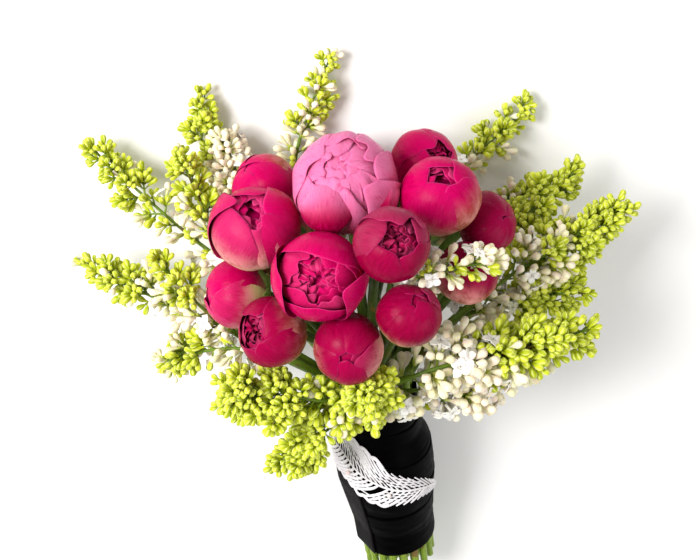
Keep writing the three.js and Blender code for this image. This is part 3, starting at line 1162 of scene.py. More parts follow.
# Each form's rings of folded petals: how many, their tip, radius and spread as a Petal has them, and their wave_mm.
RINGS = {
    Form.BUD: ((4, 168, 0.88, 60, 0.2),),
    Form.SLIT: ((5, 161, 0.87, 50, 0.4), (6, 164, 0.78, 40, 1.0), (5, 168, 0.66, 38, 1.6)),
    Form.CUP: ((5, 150, 0.87, 46, 0.5), (6, 156, 0.79, 36, 1.2), (7, 163, 0.69, 30, 1.8), (7, 171, 0.57, 30, 2.2)),
    Form.FULL: (
        (5, 163, 0.95, 40, 0.8), (4, 174, 0.92, 34, 0.9), (4, 184, 0.88, 32, 1.0), (5, 176, 0.83, 30, 1.3),
        (6, 174, 0.74, 30, 2.0),
    ),
}
HEARTS = {Form.BUD: 0.88, Form.SLIT: 0.5, Form.CUP: 0.42, Form.FULL: 0.6}  # the heart's size, as a share of the ball's


@dataclass(frozen=True)
class Guard:
    """A broad petal that swells out from a bloom as a ball of its own.

    Attributes:
        offset: where its ball's middle is, in the bloom's axes and as shares of its radius.
        radius: its radius, as a share of the bloom's.
        lean: how far the petal's face leans down from the way that the bloom faces, in degrees.
        petal: its shape.
    """

    offset: tuple[float, float, float]
    radius: float
    lean: float
    petal: Petal

    def ball(self, bloom: Ball) -> Ball:
        """Places the petal's ball on the bloom's.

        Args:
            bloom: the bloom's ball.

        Returns:
            The ball, facing down past the rim of the bloom.
        """
        a = math.radians(self.lean)
        face, rise = bloom.z * math.cos(a) - bloom.y * math.sin(a), bloom.y * math.cos(a) + bloom.z * math.sin(a)
        middle = bloom.centre + bloom.radius * (
            self.offset[0] * bloom.x + self.offset[1] * bloom.y + self.offset[2] * bloom.z
        )
        return Ball(middle, self.radius * bloom.radius, face, bloom.x, rise, 1.0)


@dataclass
class Peony:
    """One bloom: its sepals, its outer petals and what shows between them.

    Attributes:
        number: its number in the CAD model.
        facing: the turn and lean of the way that it faces, in degrees.
        form: how far it has opened.
        outer: its outer petals, or nothing where the form's own are right.
        foot: how tan its outer petals are at the foot.
        start: where the form's own outer petals begin, in degrees.
        guards: broad petals that swell out by themselves.
        nod: how far its petals' middle leans right and up on the ball, in degrees.
        crimson: whether it is one of the darker ones.
    """

    number: int
    facing: tuple[float, float]
    form: Form
    outer: tuple[Petal, ...] = ()
    foot: float = 0.5
    start: float = 90.0
    guards: tuple[Guard, ...] = ()
    nod: tuple[float, float] = (0.0, 0.0)
    crimson: bool = False

    OUTER = 5  # how many outer petals a form has by itself
    SEPALS = 5

    def own_petals(self, rng: np.random.Generator) -> list[Petal]:
        """Gives the outer petals that the form has by itself.

        Args:
            rng: the random numbers.

        Returns:
            The petals, with their own turns and sizes.
        """
        tip = 176 if self.form is Form.BUD else 160
        return [
            Petal(
                self.start + k * 360 / self.OUTER * 1.02 + rng.uniform(-8, 8), rng.uniform(58, 70),
                tip + rng.uniform(-5, 4), radius=0.975 + 0.008 * k, foot=self.foot * rng.uniform(0.4, 1.3),
                tilt_mm=0.7, blush=rng.uniform(0, 0.1), rounded=0.38, frill=0.02,
            )
            for k in range(self.OUTER)
        ]

    def inner_petals(self, rng: np.random.Generator) -> list[Petal]:
        """Gives the folded petals inside.

        Args:
            rng: the random numbers.

        Returns:
            The petals, ring by ring from the outside.
        """
        full = self.form is Form.FULL
        return [
            Petal(
                self.start + (k + 0.5 * ring + rng.uniform(-0.25, 0.25)) * 360 / count,
                spread * rng.uniform(0.8, 1.15), tip + rng.uniform(-7, 6), radius=radius + rng.uniform(-0.02, 0.02),
                wave_mm=wave, pleat_mm=wave * 0.5, frill=0.035, rounded=0.25, tilt_mm=0.4, curl_mm=0.3, puff_mm=0.5,
                # a full bloom's petals pale only from a quarter of the way up: partly their own colouring, partly
                # painted shade deep in the folds between them
                blush=1.0 if full else rng.uniform(0.05, 0.3), blush_from=0.25 if full else -0.15,
                flare=0.03 if full else 0.0, cells=(20, 22),
            )
            for ring, (count, tip, radius, spread, wave) in enumerate(RINGS[self.form])
            for k in range(count)
        ]

    def sepals(self, rng: np.random.Generator) -> list[Petal]:
        """Gives the green sepals at the foot.

        Args:
            rng: the random numbers.

        Returns:
            The sepals, which are built as petals are.
        """
        return [
            Petal(
                self.start + 25 + k * 360 / self.SEPALS + rng.uniform(-10, 10), rng.uniform(17, 27),
                rng.uniform(44, 66), radius=1.02, rounded=0.55, wave_mm=0.3, curl_mm=0.3, root=3, cells=(12, 12),
            )
            for k in range(self.SEPALS)
        ]

    def heart(self, ball: Ball, rng: np.random.Generator) -> Surface:
        """Builds the crumpled dark heart that closes the bloom.

        Args:
            ball: the bloom's ball.
            rng: the random numbers.

        Returns:
            The closed surface.
        """
        ROWS, SIDES = 17, 20
        size = ball.radius * HEARTS[self.form]
        up = np.linspace(-1, 1, ROWS)
        lumps = 1 + 0.06 * Ripple(rng, 4, 9)(np.arange(SIDES)[None] * 0.3, np.arange(ROWS)[:, None] * 0.25)
        return tube(
            up[:, None] * ball.z * size * 0.98 + ball.centre, size * np.sqrt(np.clip(1 - up**2, 0.002, 1)), SIDES,
            (0.2, 1, 0, 0), lumps=lumps,
        )

    def build(self, handle: Handle, right: Array, finishes: Finishes) -> list[bpy.types.Object]:
        """Builds the bloom.

        Args:
            handle: the bunch's axes.
            right: the way that counts as right.
            finishes: the materials.

        Returns:
            Its pieces.
        """
        node = f"peony_{self.number:02d}"
        rng = np.random.default_rng(100 + self.number)
        ball = Ball.read(node, handle.way(*self.facing), right).nodded(*self.nod)
        petals, calyx = Mesher(), Mesher()
        for petal in [*(self.outer or self.own_petals(rng)), *self.inner_petals(rng)]:
            petals.add(petal.shape(ball, rng))
        for guard in self.guards:
            petals.add(guard.petal.shape(guard.ball(ball), rng))
        petals.add(self.heart(ball, rng))
        for sepal in self.sepals(rng):
            calyx.add(sepal.shape(ball, rng))
        finish = finishes.crimson if self.crimson else finishes.petal
        return [
            petals.piece(f"{node}_petals", finish, "peony_petal", node),
            calyx.piece(f"{node}_calyx", finishes.sepal, "peony_green"),
        ]


PEONIES = (
    Peony(1, (-4, 33), Form.FULL, outer=(
        Petal(150, 60, 150, 1.0, blush=0.95, blush_from=0.1, rounded=0.4, wave_mm=0.7, pleat_mm=0.5, point=0.04,
              flare=0.04, frill=0.03),
        Petal(88, 54, 151, 0.985, blush=0.9, rounded=0.4, frill=0.05, wave_mm=0.9, pleat_mm=0.4, flare=0.04),
        Petal(35, 46, 146, 1.0, blush=0.9, blush_from=0.2, rounded=0.45, frill=0.03, wave_mm=0.8, flare=0.06),
        # the right and lower petals start to pale later, so more of them stays magenta: partly their own colouring,
        # partly painted shade on the side away from the light
        Petal(0, 40, 142, 1.03, blush=0.9, blush_from=0.3, rounded=0.45, wave_mm=0.8, pleat_mm=0.4, flare=0.08),
        Petal(325, 36, 139, 1.06, blush=0.85, blush_from=0.35, rounded=0.5, point=0.04, wave_mm=0.9, flare=0.08),
        Petal(215, 50, 146, 0.99, blush=0.9, blush_from=0.1, rounded=0.4, wave_mm=0.7, pleat_mm=0.4, flare=0.03),
        Petal(270, 38, 152, 0.98, blush=0.9, blush_from=0.3, rounded=0.45, wave_mm=1.0, pleat_mm=0.5, flare=0.05),
    ), guards=(
        Guard((-0.25, -0.60, 0.31), 0.57, 19, Petal(
            0, 86, 150, rounded=0.22, frill=0.05, wave_mm=0.5, pleat_mm=0.35, blush=0.95, blush_from=0.2, puff_mm=0.6,
            cells=(30, 40))),
        Guard((0.68, -0.46, 0.18), 0.36, 0, Petal(
            45, 70, 142, rounded=0.25, frill=0.10, wave_mm=1.6, pleat_mm=1.0, flare=0.3, blush=0.7, blush_from=0.2,
            cells=(26, 40))),
    )),
    Peony(2, (-5, 27), Form.SLIT, nod=(5, 4), outer=(
        Petal(8, 72, 163, 1.0, foot=0.25, rounded=0.32, tilt_mm=0.9),
        Petal(95, 55, 156, 0.96, foot=0.3, rounded=0.35),
        Petal(165, 46, 132, 1.03, flare=0.09, point=0.22, rounded=0.5, foot=0.2, blush=0.15),
        Petal(222, 60, 161, 1.01, foot=0.8, rounded=0.35, blush=0.2, blush_from=-0.4, pleat_mm=0.3),
        Petal(290, 40, 150, 0.985, foot=0.9, rounded=0.35, blush=0.2, wave_mm=0.9, pleat_mm=0.5),
        Petal(318, 52, 158, 1.005, foot=0.5, rounded=0.35, blush=0.1),
    )),
    Peony(3, (-5, 58), Form.CUP, outer=(
        Petal(75, 82, 150, 0.98, rounded=0.28, wave_mm=0.3, blush=0.05, foot=0.35),
        Petal(190, 50, 136, 1.03, flare=0.10, rounded=0.4, wave_mm=0.4, blush=0.05),
        Petal(262, 66, 138, 1.0, rounded=0.3, wave_mm=0.35, flare=0.02),
        Petal(338, 48, 134, 1.04, flare=0.12, point=0.10, rounded=0.5, wave_mm=0.4),
        Petal(30, 50, 130, 0.95, rounded=0.35),
    )),
    Peony(4, (-2, 42), Form.SLIT, nod=(2, 17), outer=(
        Petal(95, 72, 161, 0.975, rounded=0.2, foot=0.2, wave_mm=0.3),
        Petal(178, 60, 160, 0.985, rounded=0.3, foot=0.3),
        Petal(12, 60, 160, 0.99, rounded=0.3, foot=0.6),
        Petal(255, 76, 167, 1.0, rounded=0.22, foot=0.75, blush=0.06, wave_mm=0.5),
        Petal(318, 62, 160, 1.01, rounded=0.36, foot=0.95),
    )),
    Peony(5, (44, 48), Form.CUP, start=200, foot=0.3),
    Peony(6, (19, 47), Form.CUP, crimson=True, foot=0.5, outer=(
        Petal(88, 66, 154, 0.97, frill=0.06, rounded=0.25, flare=0.1, wave_mm=0.9, blush=0.2),
        Petal(160, 56, 154, 1.0, rounded=0.35, blush=0.18, foot=0.4),
        Petal(235, 60, 153, 1.01, rounded=0.3, foot=0.3),
        Petal(310, 58, 154, 1.02, rounded=0.3),
        Petal(20, 54, 152, 0.99, rounded=0.35, foot=0.4, blush=0.2),
    )),
    Peony(7, (-100, 30), Form.BUD, outer=(
        Petal(110, 54, 150, 0.99, point=0.14, rounded=0.5, foot=0.5, flare=0.1, wave_mm=0.7),
        Petal(30, 52, 158, 1.0, point=0.16, rounded=0.5, foot=1.1, flare=0.05, wave_mm=0.6),
        Petal(180, 60, 166, 0.99, point=0.1, rounded=0.45, foot=0.3),
        Petal(300, 66, 172, 1.0, rounded=0.4, foot=0.4),
        Petal(240, 60, 168, 1.01, rounded=0.4, foot=0.2),
    )),
    Peony(8, (-89, 71), Form.BUD, outer=(
        Petal(70, 68, 176, 0.975, foot=0.25, rounded=0.38),
        Petal(10, 58, 168, 0.985, foot=0.35, rounded=0.4),
        Petal(160, 56, 160, 0.99, foot=0.3, rounded=0.4, flare=0.02, wave_mm=0.6),
        Petal(300, 62, 150, 0.995, foot=0.62, rounded=0.4, blush=0.15),
        Petal(225, 62, 164, 1.01, foot=0.7, rounded=0.4, blush=0.2, blush_from=-0.6),
    )),
    Peony(9, (-44, 53), Form.CUP, crimson=True, start=20, foot=0.8, outer=(
        Petal(10, 74, 158, 1.0, foot=0.9, rounded=0.32),
        Petal(95, 60, 152, 0.985, foot=0.6, rounded=0.35),
        Petal(180, 52, 140, 0.97, foot=0.2, rounded=0.35),
        Petal(255, 60, 148, 0.99, foot=0.4, rounded=0.3),
        Petal(310, 58, 154, 1.02, foot=0.7, rounded=0.3),
    )),
    Peony(10, (-6, 66), Form.BUD, crimson=True, outer=(
        Petal(120, 66, 172, 0.975, foot=0.35, rounded=0.36, wave_mm=0.5),
        Petal(55, 60, 168, 0.985, foot=0.5, rounded=0.38, wave_mm=0.5),
        Petal(190, 62, 166, 0.99, foot=0.95, rounded=0.38, tilt_mm=0.9),
        Petal(265, 58, 174, 1.0, foot=0.3, rounded=0.4, tilt_mm=0.9),
        Petal(330, 60, 165, 1.01, foot=1.0, rounded=0.38, blush=0.16, blush_from=-0.6),
    )),
    Peony(11, (37, 32), Form.BUD, crimson=True, nod=(3, 6), outer=(
        Petal(100, 60, 166, 0.97, foot=0.2, rounded=0.42, wave_mm=0.6),
        Petal(170, 62, 170, 0.985, foot=0.5, rounded=0.4, tilt_mm=0.9),
        Petal(240, 58, 163, 0.995, foot=0.6, rounded=0.42, tilt_mm=0.9),
        Petal(35, 50, 160, 1.0, foot=0.7, rounded=0.42, blush=0.2),
        Petal(305, 62, 168, 1.01, foot=0.4, rounded=0.4, point=0.06),
    )),
    Peony(12, (18, 35), Form.BUD, crimson=True, start=40, foot=0.75),
    Peony(13, (39, 61), Form.BUD, crimson=True, start=10, foot=0.3),
    Peony(14, (172, 70), Form.SLIT, start=80, foot=0.6),
    Peony(15, (124, 80), Form.BUD, crimson=True, start=0, foot=0.6),
    Peony(16, (158, 90), Form.BUD, start=50, foot=0.6),
    Peony(17, (-162, 90), Form.SLIT, start=140, foot=0.6),
    Peony(18, (-124, 85), Form.BUD, crimson=True, start=260, foot=0.6),
)


@dataclass
class Stems:
    """The peony stems, from their cut ends to the blooms.

    Attributes:
        count: how many there are.
        sides: how many sides each tube has.
    """

    count: int = 18
    sides: int = 14

    def build(self, finishes: Finishes) -> list[bpy.types.Object]:
        """Builds every stem as a piece of its own.

        Args:
            finishes: the materials.

        Returns:
            Its pieces.
        """
        RIDGES = 5  # the soft ridges down a stem
        turn = round_turns(self.sides)
        made = []
        for number in range(1, self.count + 1):
            node = f"peony_stem_{number:02d}"
            rng = np.random.default_rng(300 + number)
            strand = Strand.read(node)
            path, radii = curve_through(strand.points, 3 * MM, strand.radii)
            bumps = Ripple(rng, 0.2, 1.2)(np.arange(len(path))[:, None] * 0.3, turn[None] * 0)
            mesher = Mesher()
            mesher.add(tube(path, radii, self.sides, lumps=0.97 + 0.03 * np.cos(RIDGES * turn)[None] + 0.025 * bumps))
            made.append(mesher.piece(f"{node}_stalk", finishes.stem, "peony_green", node))
        return made


# ---------------------------------------------------------------- lilac


class LilacShapes:
    """The small shapes that sprigs are made of, in metres, each growing along its third axis."""

    @staticmethod
    def bud(neck: float) -> Surface:
        """Builds a closed bud: a slender tube under a four-lobed bead.

        Args:
            neck: the tube's length as a share of the usual.

        Returns:
            The bud, about 7 mm long where the neck is short.
        """
        SIDES, LOBES = 8, 4
        LOBE_HIGH = 0.08  # how far the lobes stand out, as a share of the radius
        DIMPLE = 0.25 * MM  # how far the tip is drawn in between them
        top = 3.0 * neck
        outline = np.array([  # height and radius in millimetres
            [0.0, 0.7], [0.5, 0.8], [top, 0.7], [top + 1.2, 1.2], [top + 2.7, 1.75], [top + 4.3, 1.88],
            [top + 5.4, 1.4], [top + 5.9, 0.6],
        ])
        ridge = np.cos(LOBES * round_turns(SIDES))[None]
        lobe = smooth(outline[:, 0], top, top + 2.4)[:, None]
        path = np.zeros((len(outline), 3))
        path[:, 2] = outline[:, 0] * MM
        made = tube(path, outline[:, 1] * MM, SIDES, lumps=1 + LOBE_HIGH * lobe * ridge)
        made.points[-1, 2] = made.points[:-2, 2].max() - DIMPLE
        made.tint[:, 0] = made.points[:, 2] / made.points[:, 2].max()
        made.tint[:-2, 1] = (lobe * (0.5 + 0.5 * ridge)).ravel()
        made.tint[-1, 1] = 1.0
        return made

    @staticmethod
    def floret(rng: np.random.Generator) -> list[Surface]:
        """Builds an open floret: a tube, a throat and four cupped lobes.

        Args:
            rng: the random numbers.

        Returns:
            Its parts, about 10 mm across.
        """
        LOBES, THICK = 4, 0.35 * MM
        LONG, WIDE, THROAT = 4.3, 1.9, 0.7  # a lobe's length and half width, and where it starts, in millimetres
        path = np.array([[0, 0, 0], [0, 0, 2.5], [0, 0, 5], [0, 0, 5.6]]) * MM
        parts = [tube(path, np.array([0.8, 0.65, 0.8, 1.1]) * MM, 8)]
        parts[0].tint[:, 0] = 0.5
        parts[0].tint[-1, 0] = 0.0
        v, u = np.meshgrid(np.linspace(0, 1, 6), np.linspace(-1, 1, 6), indexing="ij")
        for k in range(LOBES):
            out = THROAT + (LONG + rng.uniform(-0.3, 0.3)) * v * (1 - 0.12 * np.abs(u) ** 2)
            aside = u * WIDE * np.sin(math.pi * np.clip(v * 0.8 + 0.14, 0, 1)) ** 0.7
            rise = 5.5 + 0.9 * v - 1.1 * v**2 + 0.75 * u**2 * v
            t = k * 2 * math.pi / LOBES + rng.uniform(-0.1, 0.1)
            grid = np.stack([out * np.cos(t) - aside * np.sin(t), out * np.sin(t) + aside * np.cos(t), rise], -1) * MM
            tint = np.stack([out / LONG * 0.9 + 0.02, 0 * u, 0 * u, 0 * u], -1)
            uv = np.stack([aside, out], -1) * MM * CM
            parts.append(thin_solid(grid, np.full(u.shape, THICK), uv, tint))
        return parts


@dataclass(frozen=True)
class Room:
    """What the lilac keeps clear of.

    Attributes:
        handle: the bunch's axes.
        centres: (n, 3) the middles of the blooms.
        radii: (n,) their radii.
    """

    handle: Handle
    centres: Array
    radii: Array

    RIBBON_TOP = 0.104  # how far the ribbon's rim is below the middle of the dome
    RIBBON_RADIUS = 0.031
    CLEAR_TOP = 0.107  # below here nothing hangs over the ribbon
    CLEAR_RADIUS = 0.060  # within this of the handle's axis

    def blocked(self, points: Array, gap: float) -> Array:
        """Says which points have no room.

        Args:
            points: (n, 3) places.
            gap: how far they keep from a bloom or the ribbon.

        Returns:
            (n,) whether each is too near.
        """
        far = np.linalg.norm(points[:, None] - self.centres[None], axis=-1) - self.radii[None]
        _, radius, below = self.handle.measure(points)
        near = (below > self.RIBBON_TOP) & (radius < self.RIBBON_RADIUS + gap)
        return (far.min(1) < gap) | near | ((below > self.CLEAR_TOP) & (radius < self.CLEAR_RADIUS))


Grown = tuple[Array, Array, float, bool, bool]  # a bud's foot, way and size, whether it is white, and open


@dataclass
class LilacSprig:
    """One sprig: its woody stem, its branchlets, and threes of buds or open florets.

    Attributes:
        number: its number in the CAD model.
        white: how many of its buds have turned white at its foot and at its tip, as shares.
        open_share: how many of the white ones are open.
        full: how thickly it is set.
        wide: how far it reaches, as a share of its CAD solid's radius.
        size: the size of its buds.
        low_mm: how far down the stem below the CAD solid it still flowers.
    """

    number: int
    white: tuple[float, float] = (0.4, 0.0)
    open_share: float = 0.1
    full: float = 1.0
    wide: float = 1.15
    size: float = 1.0
    low_mm: float = 16.0

    FLOWERING = 8  # the CAD sprig's stations that carry flowers
    WOOD_MM = (2.6, 1.5, 0.5)  # half the stem's width at its cut end, at the foot of the flowers and at its tip
    BROAD = 14 * MM  # a sprig that reaches this far has three branchlets to a tier, and a slimmer one has two
    TIER = 8.0 * MM  # from one pair of branchlets to the next, at the foot
    PAIR = 3.0 * MM  # from one pair of buds to the next
    PLUMP = 1.22  # how much bigger its buds are than the plain shapes
    END_BUD = 4.0 * MM  # how much of the sprig's reach the bud at a branchlet's end takes up
    SHORTEST = 1.5 * MM  # the shortest branchlet
    BUD_LONG = 13.5 * MM  # how far the longest bud reaches
    GAP = 1.0 * MM  # how far it keeps from the blooms and the ribbon
    BRANCH_LOW = 7 * MM  # how near a branchlet's end comes to the table
    BUD_LOW = 3.2 * MM  # how near a bud's end comes to it
    LAID_LOW = 3.6 * MM  # how high a bud starts that would have reached lower, and so lies flat
    WHITE_BIG = 1.12  # how much bigger the white buds are
    OPEN_ABOVE = 14 * MM  # how high over the table a floret needs to be to open

    def build(self, room: Room, finishes: Finishes) -> list[bpy.types.Object]:
        """Builds the sprig.

        Args:
            room: what it keeps clear of.
            finishes: the materials.

        Returns:
            Its pieces.
        """
        node = f"lilac_{self.number:02d}"
        rng = np.random.default_rng(500 + self.number)
        strand = Strand.read(node)
        bare = len(strand.points) - self.FLOWERING
        girth = np.where(np.arange(len(strand.points)) < bare, strand.radii[bare + 1] * 0.9, strand.radii)
        path, girth, where = curve_through(strand.points, 2 * MM, girth, np.arange(len(strand.points), dtype=float))
        run = run_along(path)
        first = run[where >= bare][0] - self.low_mm * MM
        flowering = run >= first
        share = np.clip((run - first) / (run[-1] - first), 0, 1)
        cut, foot, tip = self.WOOD_MM
        bare_wood = cut - (cut - foot) * smooth(where, bare - 2.5, bare)
        wood = np.where(flowering, foot - (foot - tip) * share, bare_wood) * MM
        branches, buds, florets = Mesher(), Mesher(), Mesher()
        lumps = 1 + 0.05 * Ripple(rng, 0.3, 1.5)(np.arange(len(path))[:, None] * 0.5, np.arange(10)[None] * 0.6)
        branches.add(tube(path, wood, 10, lumps=lumps))
        self.flowers(path[flowering], girth[flowering], room, rng, branches, buds, florets)
        return [
            mesher.piece(f"{node}_{part}", finish, slot, replaced)
            for mesher, part, finish, slot, replaced in (
                (branches, "branches", finishes.wood, "lilac_green", node),
                (buds, "buds", finishes.bud, "lilac_green", None),
                (florets, "florets", finishes.floret, "lilac_white", None),
            )
            if mesher.parts
        ]

    def flowers(
        self, path: Array, girth: Array, room: Room, rng: np.random.Generator,
        branches: Mesher, buds: Mesher, florets: Mesher,
    ) -> None:
        """Sets threes of buds on branchlets all round the flowering part.

        Args:
            path: (n, 3) its middle line.
            girth: (n,) how far it reaches.
            room: what it keeps clear of.
            rng: the random numbers.
            branches: takes the branchlets.
            buds: takes the buds.
            florets: takes the open florets.
        """
        FULL_TURN = 6.28
        run = run_along(path)
        side, other = sweep_frames(path)
        along = unit(np.gradient(path, axis=0))
        grown: list[Grown] = []
        s, tier = 0.0, 0
        while s < run[-1]:
            t = s / run[-1]
            reach = float(np.interp(s, run, girth)) * self.wide
            at = int(np.argmin(np.abs(run - s)))
            rows = 2 if reach < self.BROAD else 3
            for j in range(rows):
                turn = (j + 0.5 * (tier % 2)) * 2 * math.pi / rows + rng.uniform(-0.35, 0.35)
                lean = math.radians(64 - 30 * t + rng.uniform(-9, 9))
                radial = side[at] * math.cos(turn) + other[at] * math.sin(turn)
                way = unit(radial * math.sin(lean) + along[at] * math.cos(lean))
                length = reach * rng.uniform(0.7, 1.2) / math.sin(lean) - self.END_BUD
                self.branchlet(path[at], way, max(length, self.SHORTEST), t, room, rng, branches, grown)
            s += self.TIER * self.size * (1 - 0.4 * t) * rng.uniform(0.7, 1.3) / self.full
            tier += 1
        self.branchlet(path[-2], along[-1], 5.0 * MM, 1.0, room, rng, branches, grown)
        places, ways = np.array([g[0] for g in grown]), np.array([g[1] for g in grown])
        sizes, whites, opens = (np.array([g[k] for g in grown]) for k in (2, 3, 4))
        spins, chance = rng.uniform(0, FULL_TURN, len(places)), rng.uniform(0, 1, len(places))
        turns = aim(ways, spins, sizes)
        tints = np.stack([chance, whites * rng.uniform(0.75, 1, len(places))], -1)
        closed = ~opens
        for chosen, neck in ((closed & ~whites, 0.4), (closed & whites, 1.05)):
            if chosen.any():
                buds.add(scatter(LilacShapes.bud(neck), places[chosen], turns[chosen], tints[chosen]))
        if opens.any():
            for part in LilacShapes.floret(rng):
                florets.add(scatter(part, places[opens], turns[opens], tints[opens]))

    def branchlet(
        self, foot: Array, way: Array, length: float, t: float, room: Room, rng: np.random.Generator,
        branches: Mesher, grown: list[Grown],
    ) -> None:
        """Grows one branchlet, with a bud at its end and pairs of buds below it.

        Args:
            foot: where it leaves the stem.
            way: the way that it grows.
            length: how long it is.
            t: how far along the sprig it is.
            room: what it keeps clear of.
            rng: the random numbers.
            branches: takes the branchlet.
            grown: takes each bud.
        """
        end = foot + way * length
        if end[2] < self.BRANCH_LOW:
            end[2] = self.BRANCH_LOW + rng.uniform(0, 2) * MM
            way = unit(end - foot + [0, 0, 2 * MM])
        if room.blocked(end[None] + way * 4 * MM, self.GAP)[0]:
            return
        bend = (foot + end) / 2 + rng.normal(size=3) * 0.5 * MM
        branches.add(tube(np.array([foot, bend, end]), np.array([0.8, 0.65, 0.5]) * MM, 5))
        size = self.size * self.PLUMP * (1.0 - 0.25 * t)
        across = unit(np.cross(way, rng.normal(size=3)))
        luck = rng.uniform()
        sprung = [(end, way, 1.0)]
        pairs = int(np.clip((length - self.SHORTEST) / (self.PAIR * size), 1, 4))
        for q in range(pairs):
            at = end - way * (q + 0.35) * self.PAIR * size
            for sign in (-1.0, 1.0):
                tilt = unit(way + sign * across * (0.75 + 0.12 * q) + rng.normal(size=3) * 0.14)
                sprung.append((at, tilt, 1.0 + 0.9 * q))
                if length > 9 * MM and q and rng.uniform() < 0.7:
                    spread = unit(np.cross(tilt, way))
                    for aside in (-0.7, 0.7):
                        sprung.append((at, unit(tilt + aside * spread + rng.normal(size=3) * 0.1), 1.6 + 0.8 * q))
            across = unit(np.cross(way, across))
        for at, tilt, stalk in sprung:
            start = at + tilt * stalk * MM
            if start[2] + tilt[2] * self.BUD_LONG * size < self.BUD_LOW:
                tilt = unit(tilt * [1, 1, 0] + [0, 0, 0.05])
                start[2] = max(start[2], self.LAID_LOW)
            if room.blocked(start[None] + tilt * 3 * MM, self.GAP)[0]:
                continue
            if stalk > 0.8:
                branches.add(tube(np.array([at, start + tilt * 0.3 * MM]), np.array([0.42, 0.42]) * MM, 4))
            turned = self.white[0] + (self.white[1] - self.white[0]) * float(smooth(t * 1.25))
            white = bool(0.7 * luck + 0.3 * rng.uniform() < turned)
            opened = white and bool(rng.uniform() < self.open_share * (1.2 - t)) and start[2] > self.OPEN_ABOVE
            swell = rng.uniform(0.85, 1.12) * (self.WHITE_BIG if white else 1.0)
            grown.append((start, tilt, size * swell, white, opened))


SPRIGS = (
    LilacSprig(1, (0.9, 0.6), 0.3, full=1.1, wide=1.2, low_mm=6),
    LilacSprig(2, (0.9, 0.15), 0.2, full=0.85, low_mm=22),
    LilacSprig(3, (0.9, 0.2), 0.15, full=0.8, low_mm=26),
    LilacSprig(4, (0.9, 0.1), 0.1, full=0.8, low_mm=34),
    LilacSprig(5, (0.95, 0.05), 0.1, full=0.9, low_mm=30),
    LilacSprig(6, (0.9, 0.1), 0.1, full=0.8, low_mm=30),
    LilacSprig(7, (1.0, 0.05), 0.1, full=0.9, low_mm=28),
    LilacSprig(8, (0.9, 0.4), 0.1, full=0.9, low_mm=28),
    LilacSprig(9, (0.2, 0.0), 0.0, full=1.3, wide=1.05, low_mm=20),
    LilacSprig(10, (0.0, 0.0), 0.0, full=1.4, wide=1.2, low_mm=12),
    LilacSprig(11, (0.1, 0.0), 0.0, full=1.4, wide=1.2, low_mm=14),
    LilacSprig(12, (1.0, 0.1), 0.3, full=1.2, size=1.15, low_mm=8),
    LilacSprig(13, (1.0, 0.8), 0.35, full=1.2, size=1.2),
    LilacSprig(14, (0.8, 0.1), 0.1, full=1.1, wide=1.3, low_mm=24),
    LilacSprig(15, (0.8, 0.1), 0.1, full=0.85, wide=1.2, low_mm=26),
    LilacSprig(16, (0.8, 0.1), 0.1, full=0.9, wide=1.15, low_mm=24),
    LilacSprig(17, (0.8, 0.15), 0.1, wide=1.3, low_mm=24),
    LilacSprig(18, (1.0, 0.8), 0.25, full=1.2, wide=1.5, low_mm=24),
    LilacSprig(19, (0.9, 0.2), 0.15, full=1.1, wide=1.3, low_mm=24),
)


# ---------------------------------------------------------------- the handle's dressing


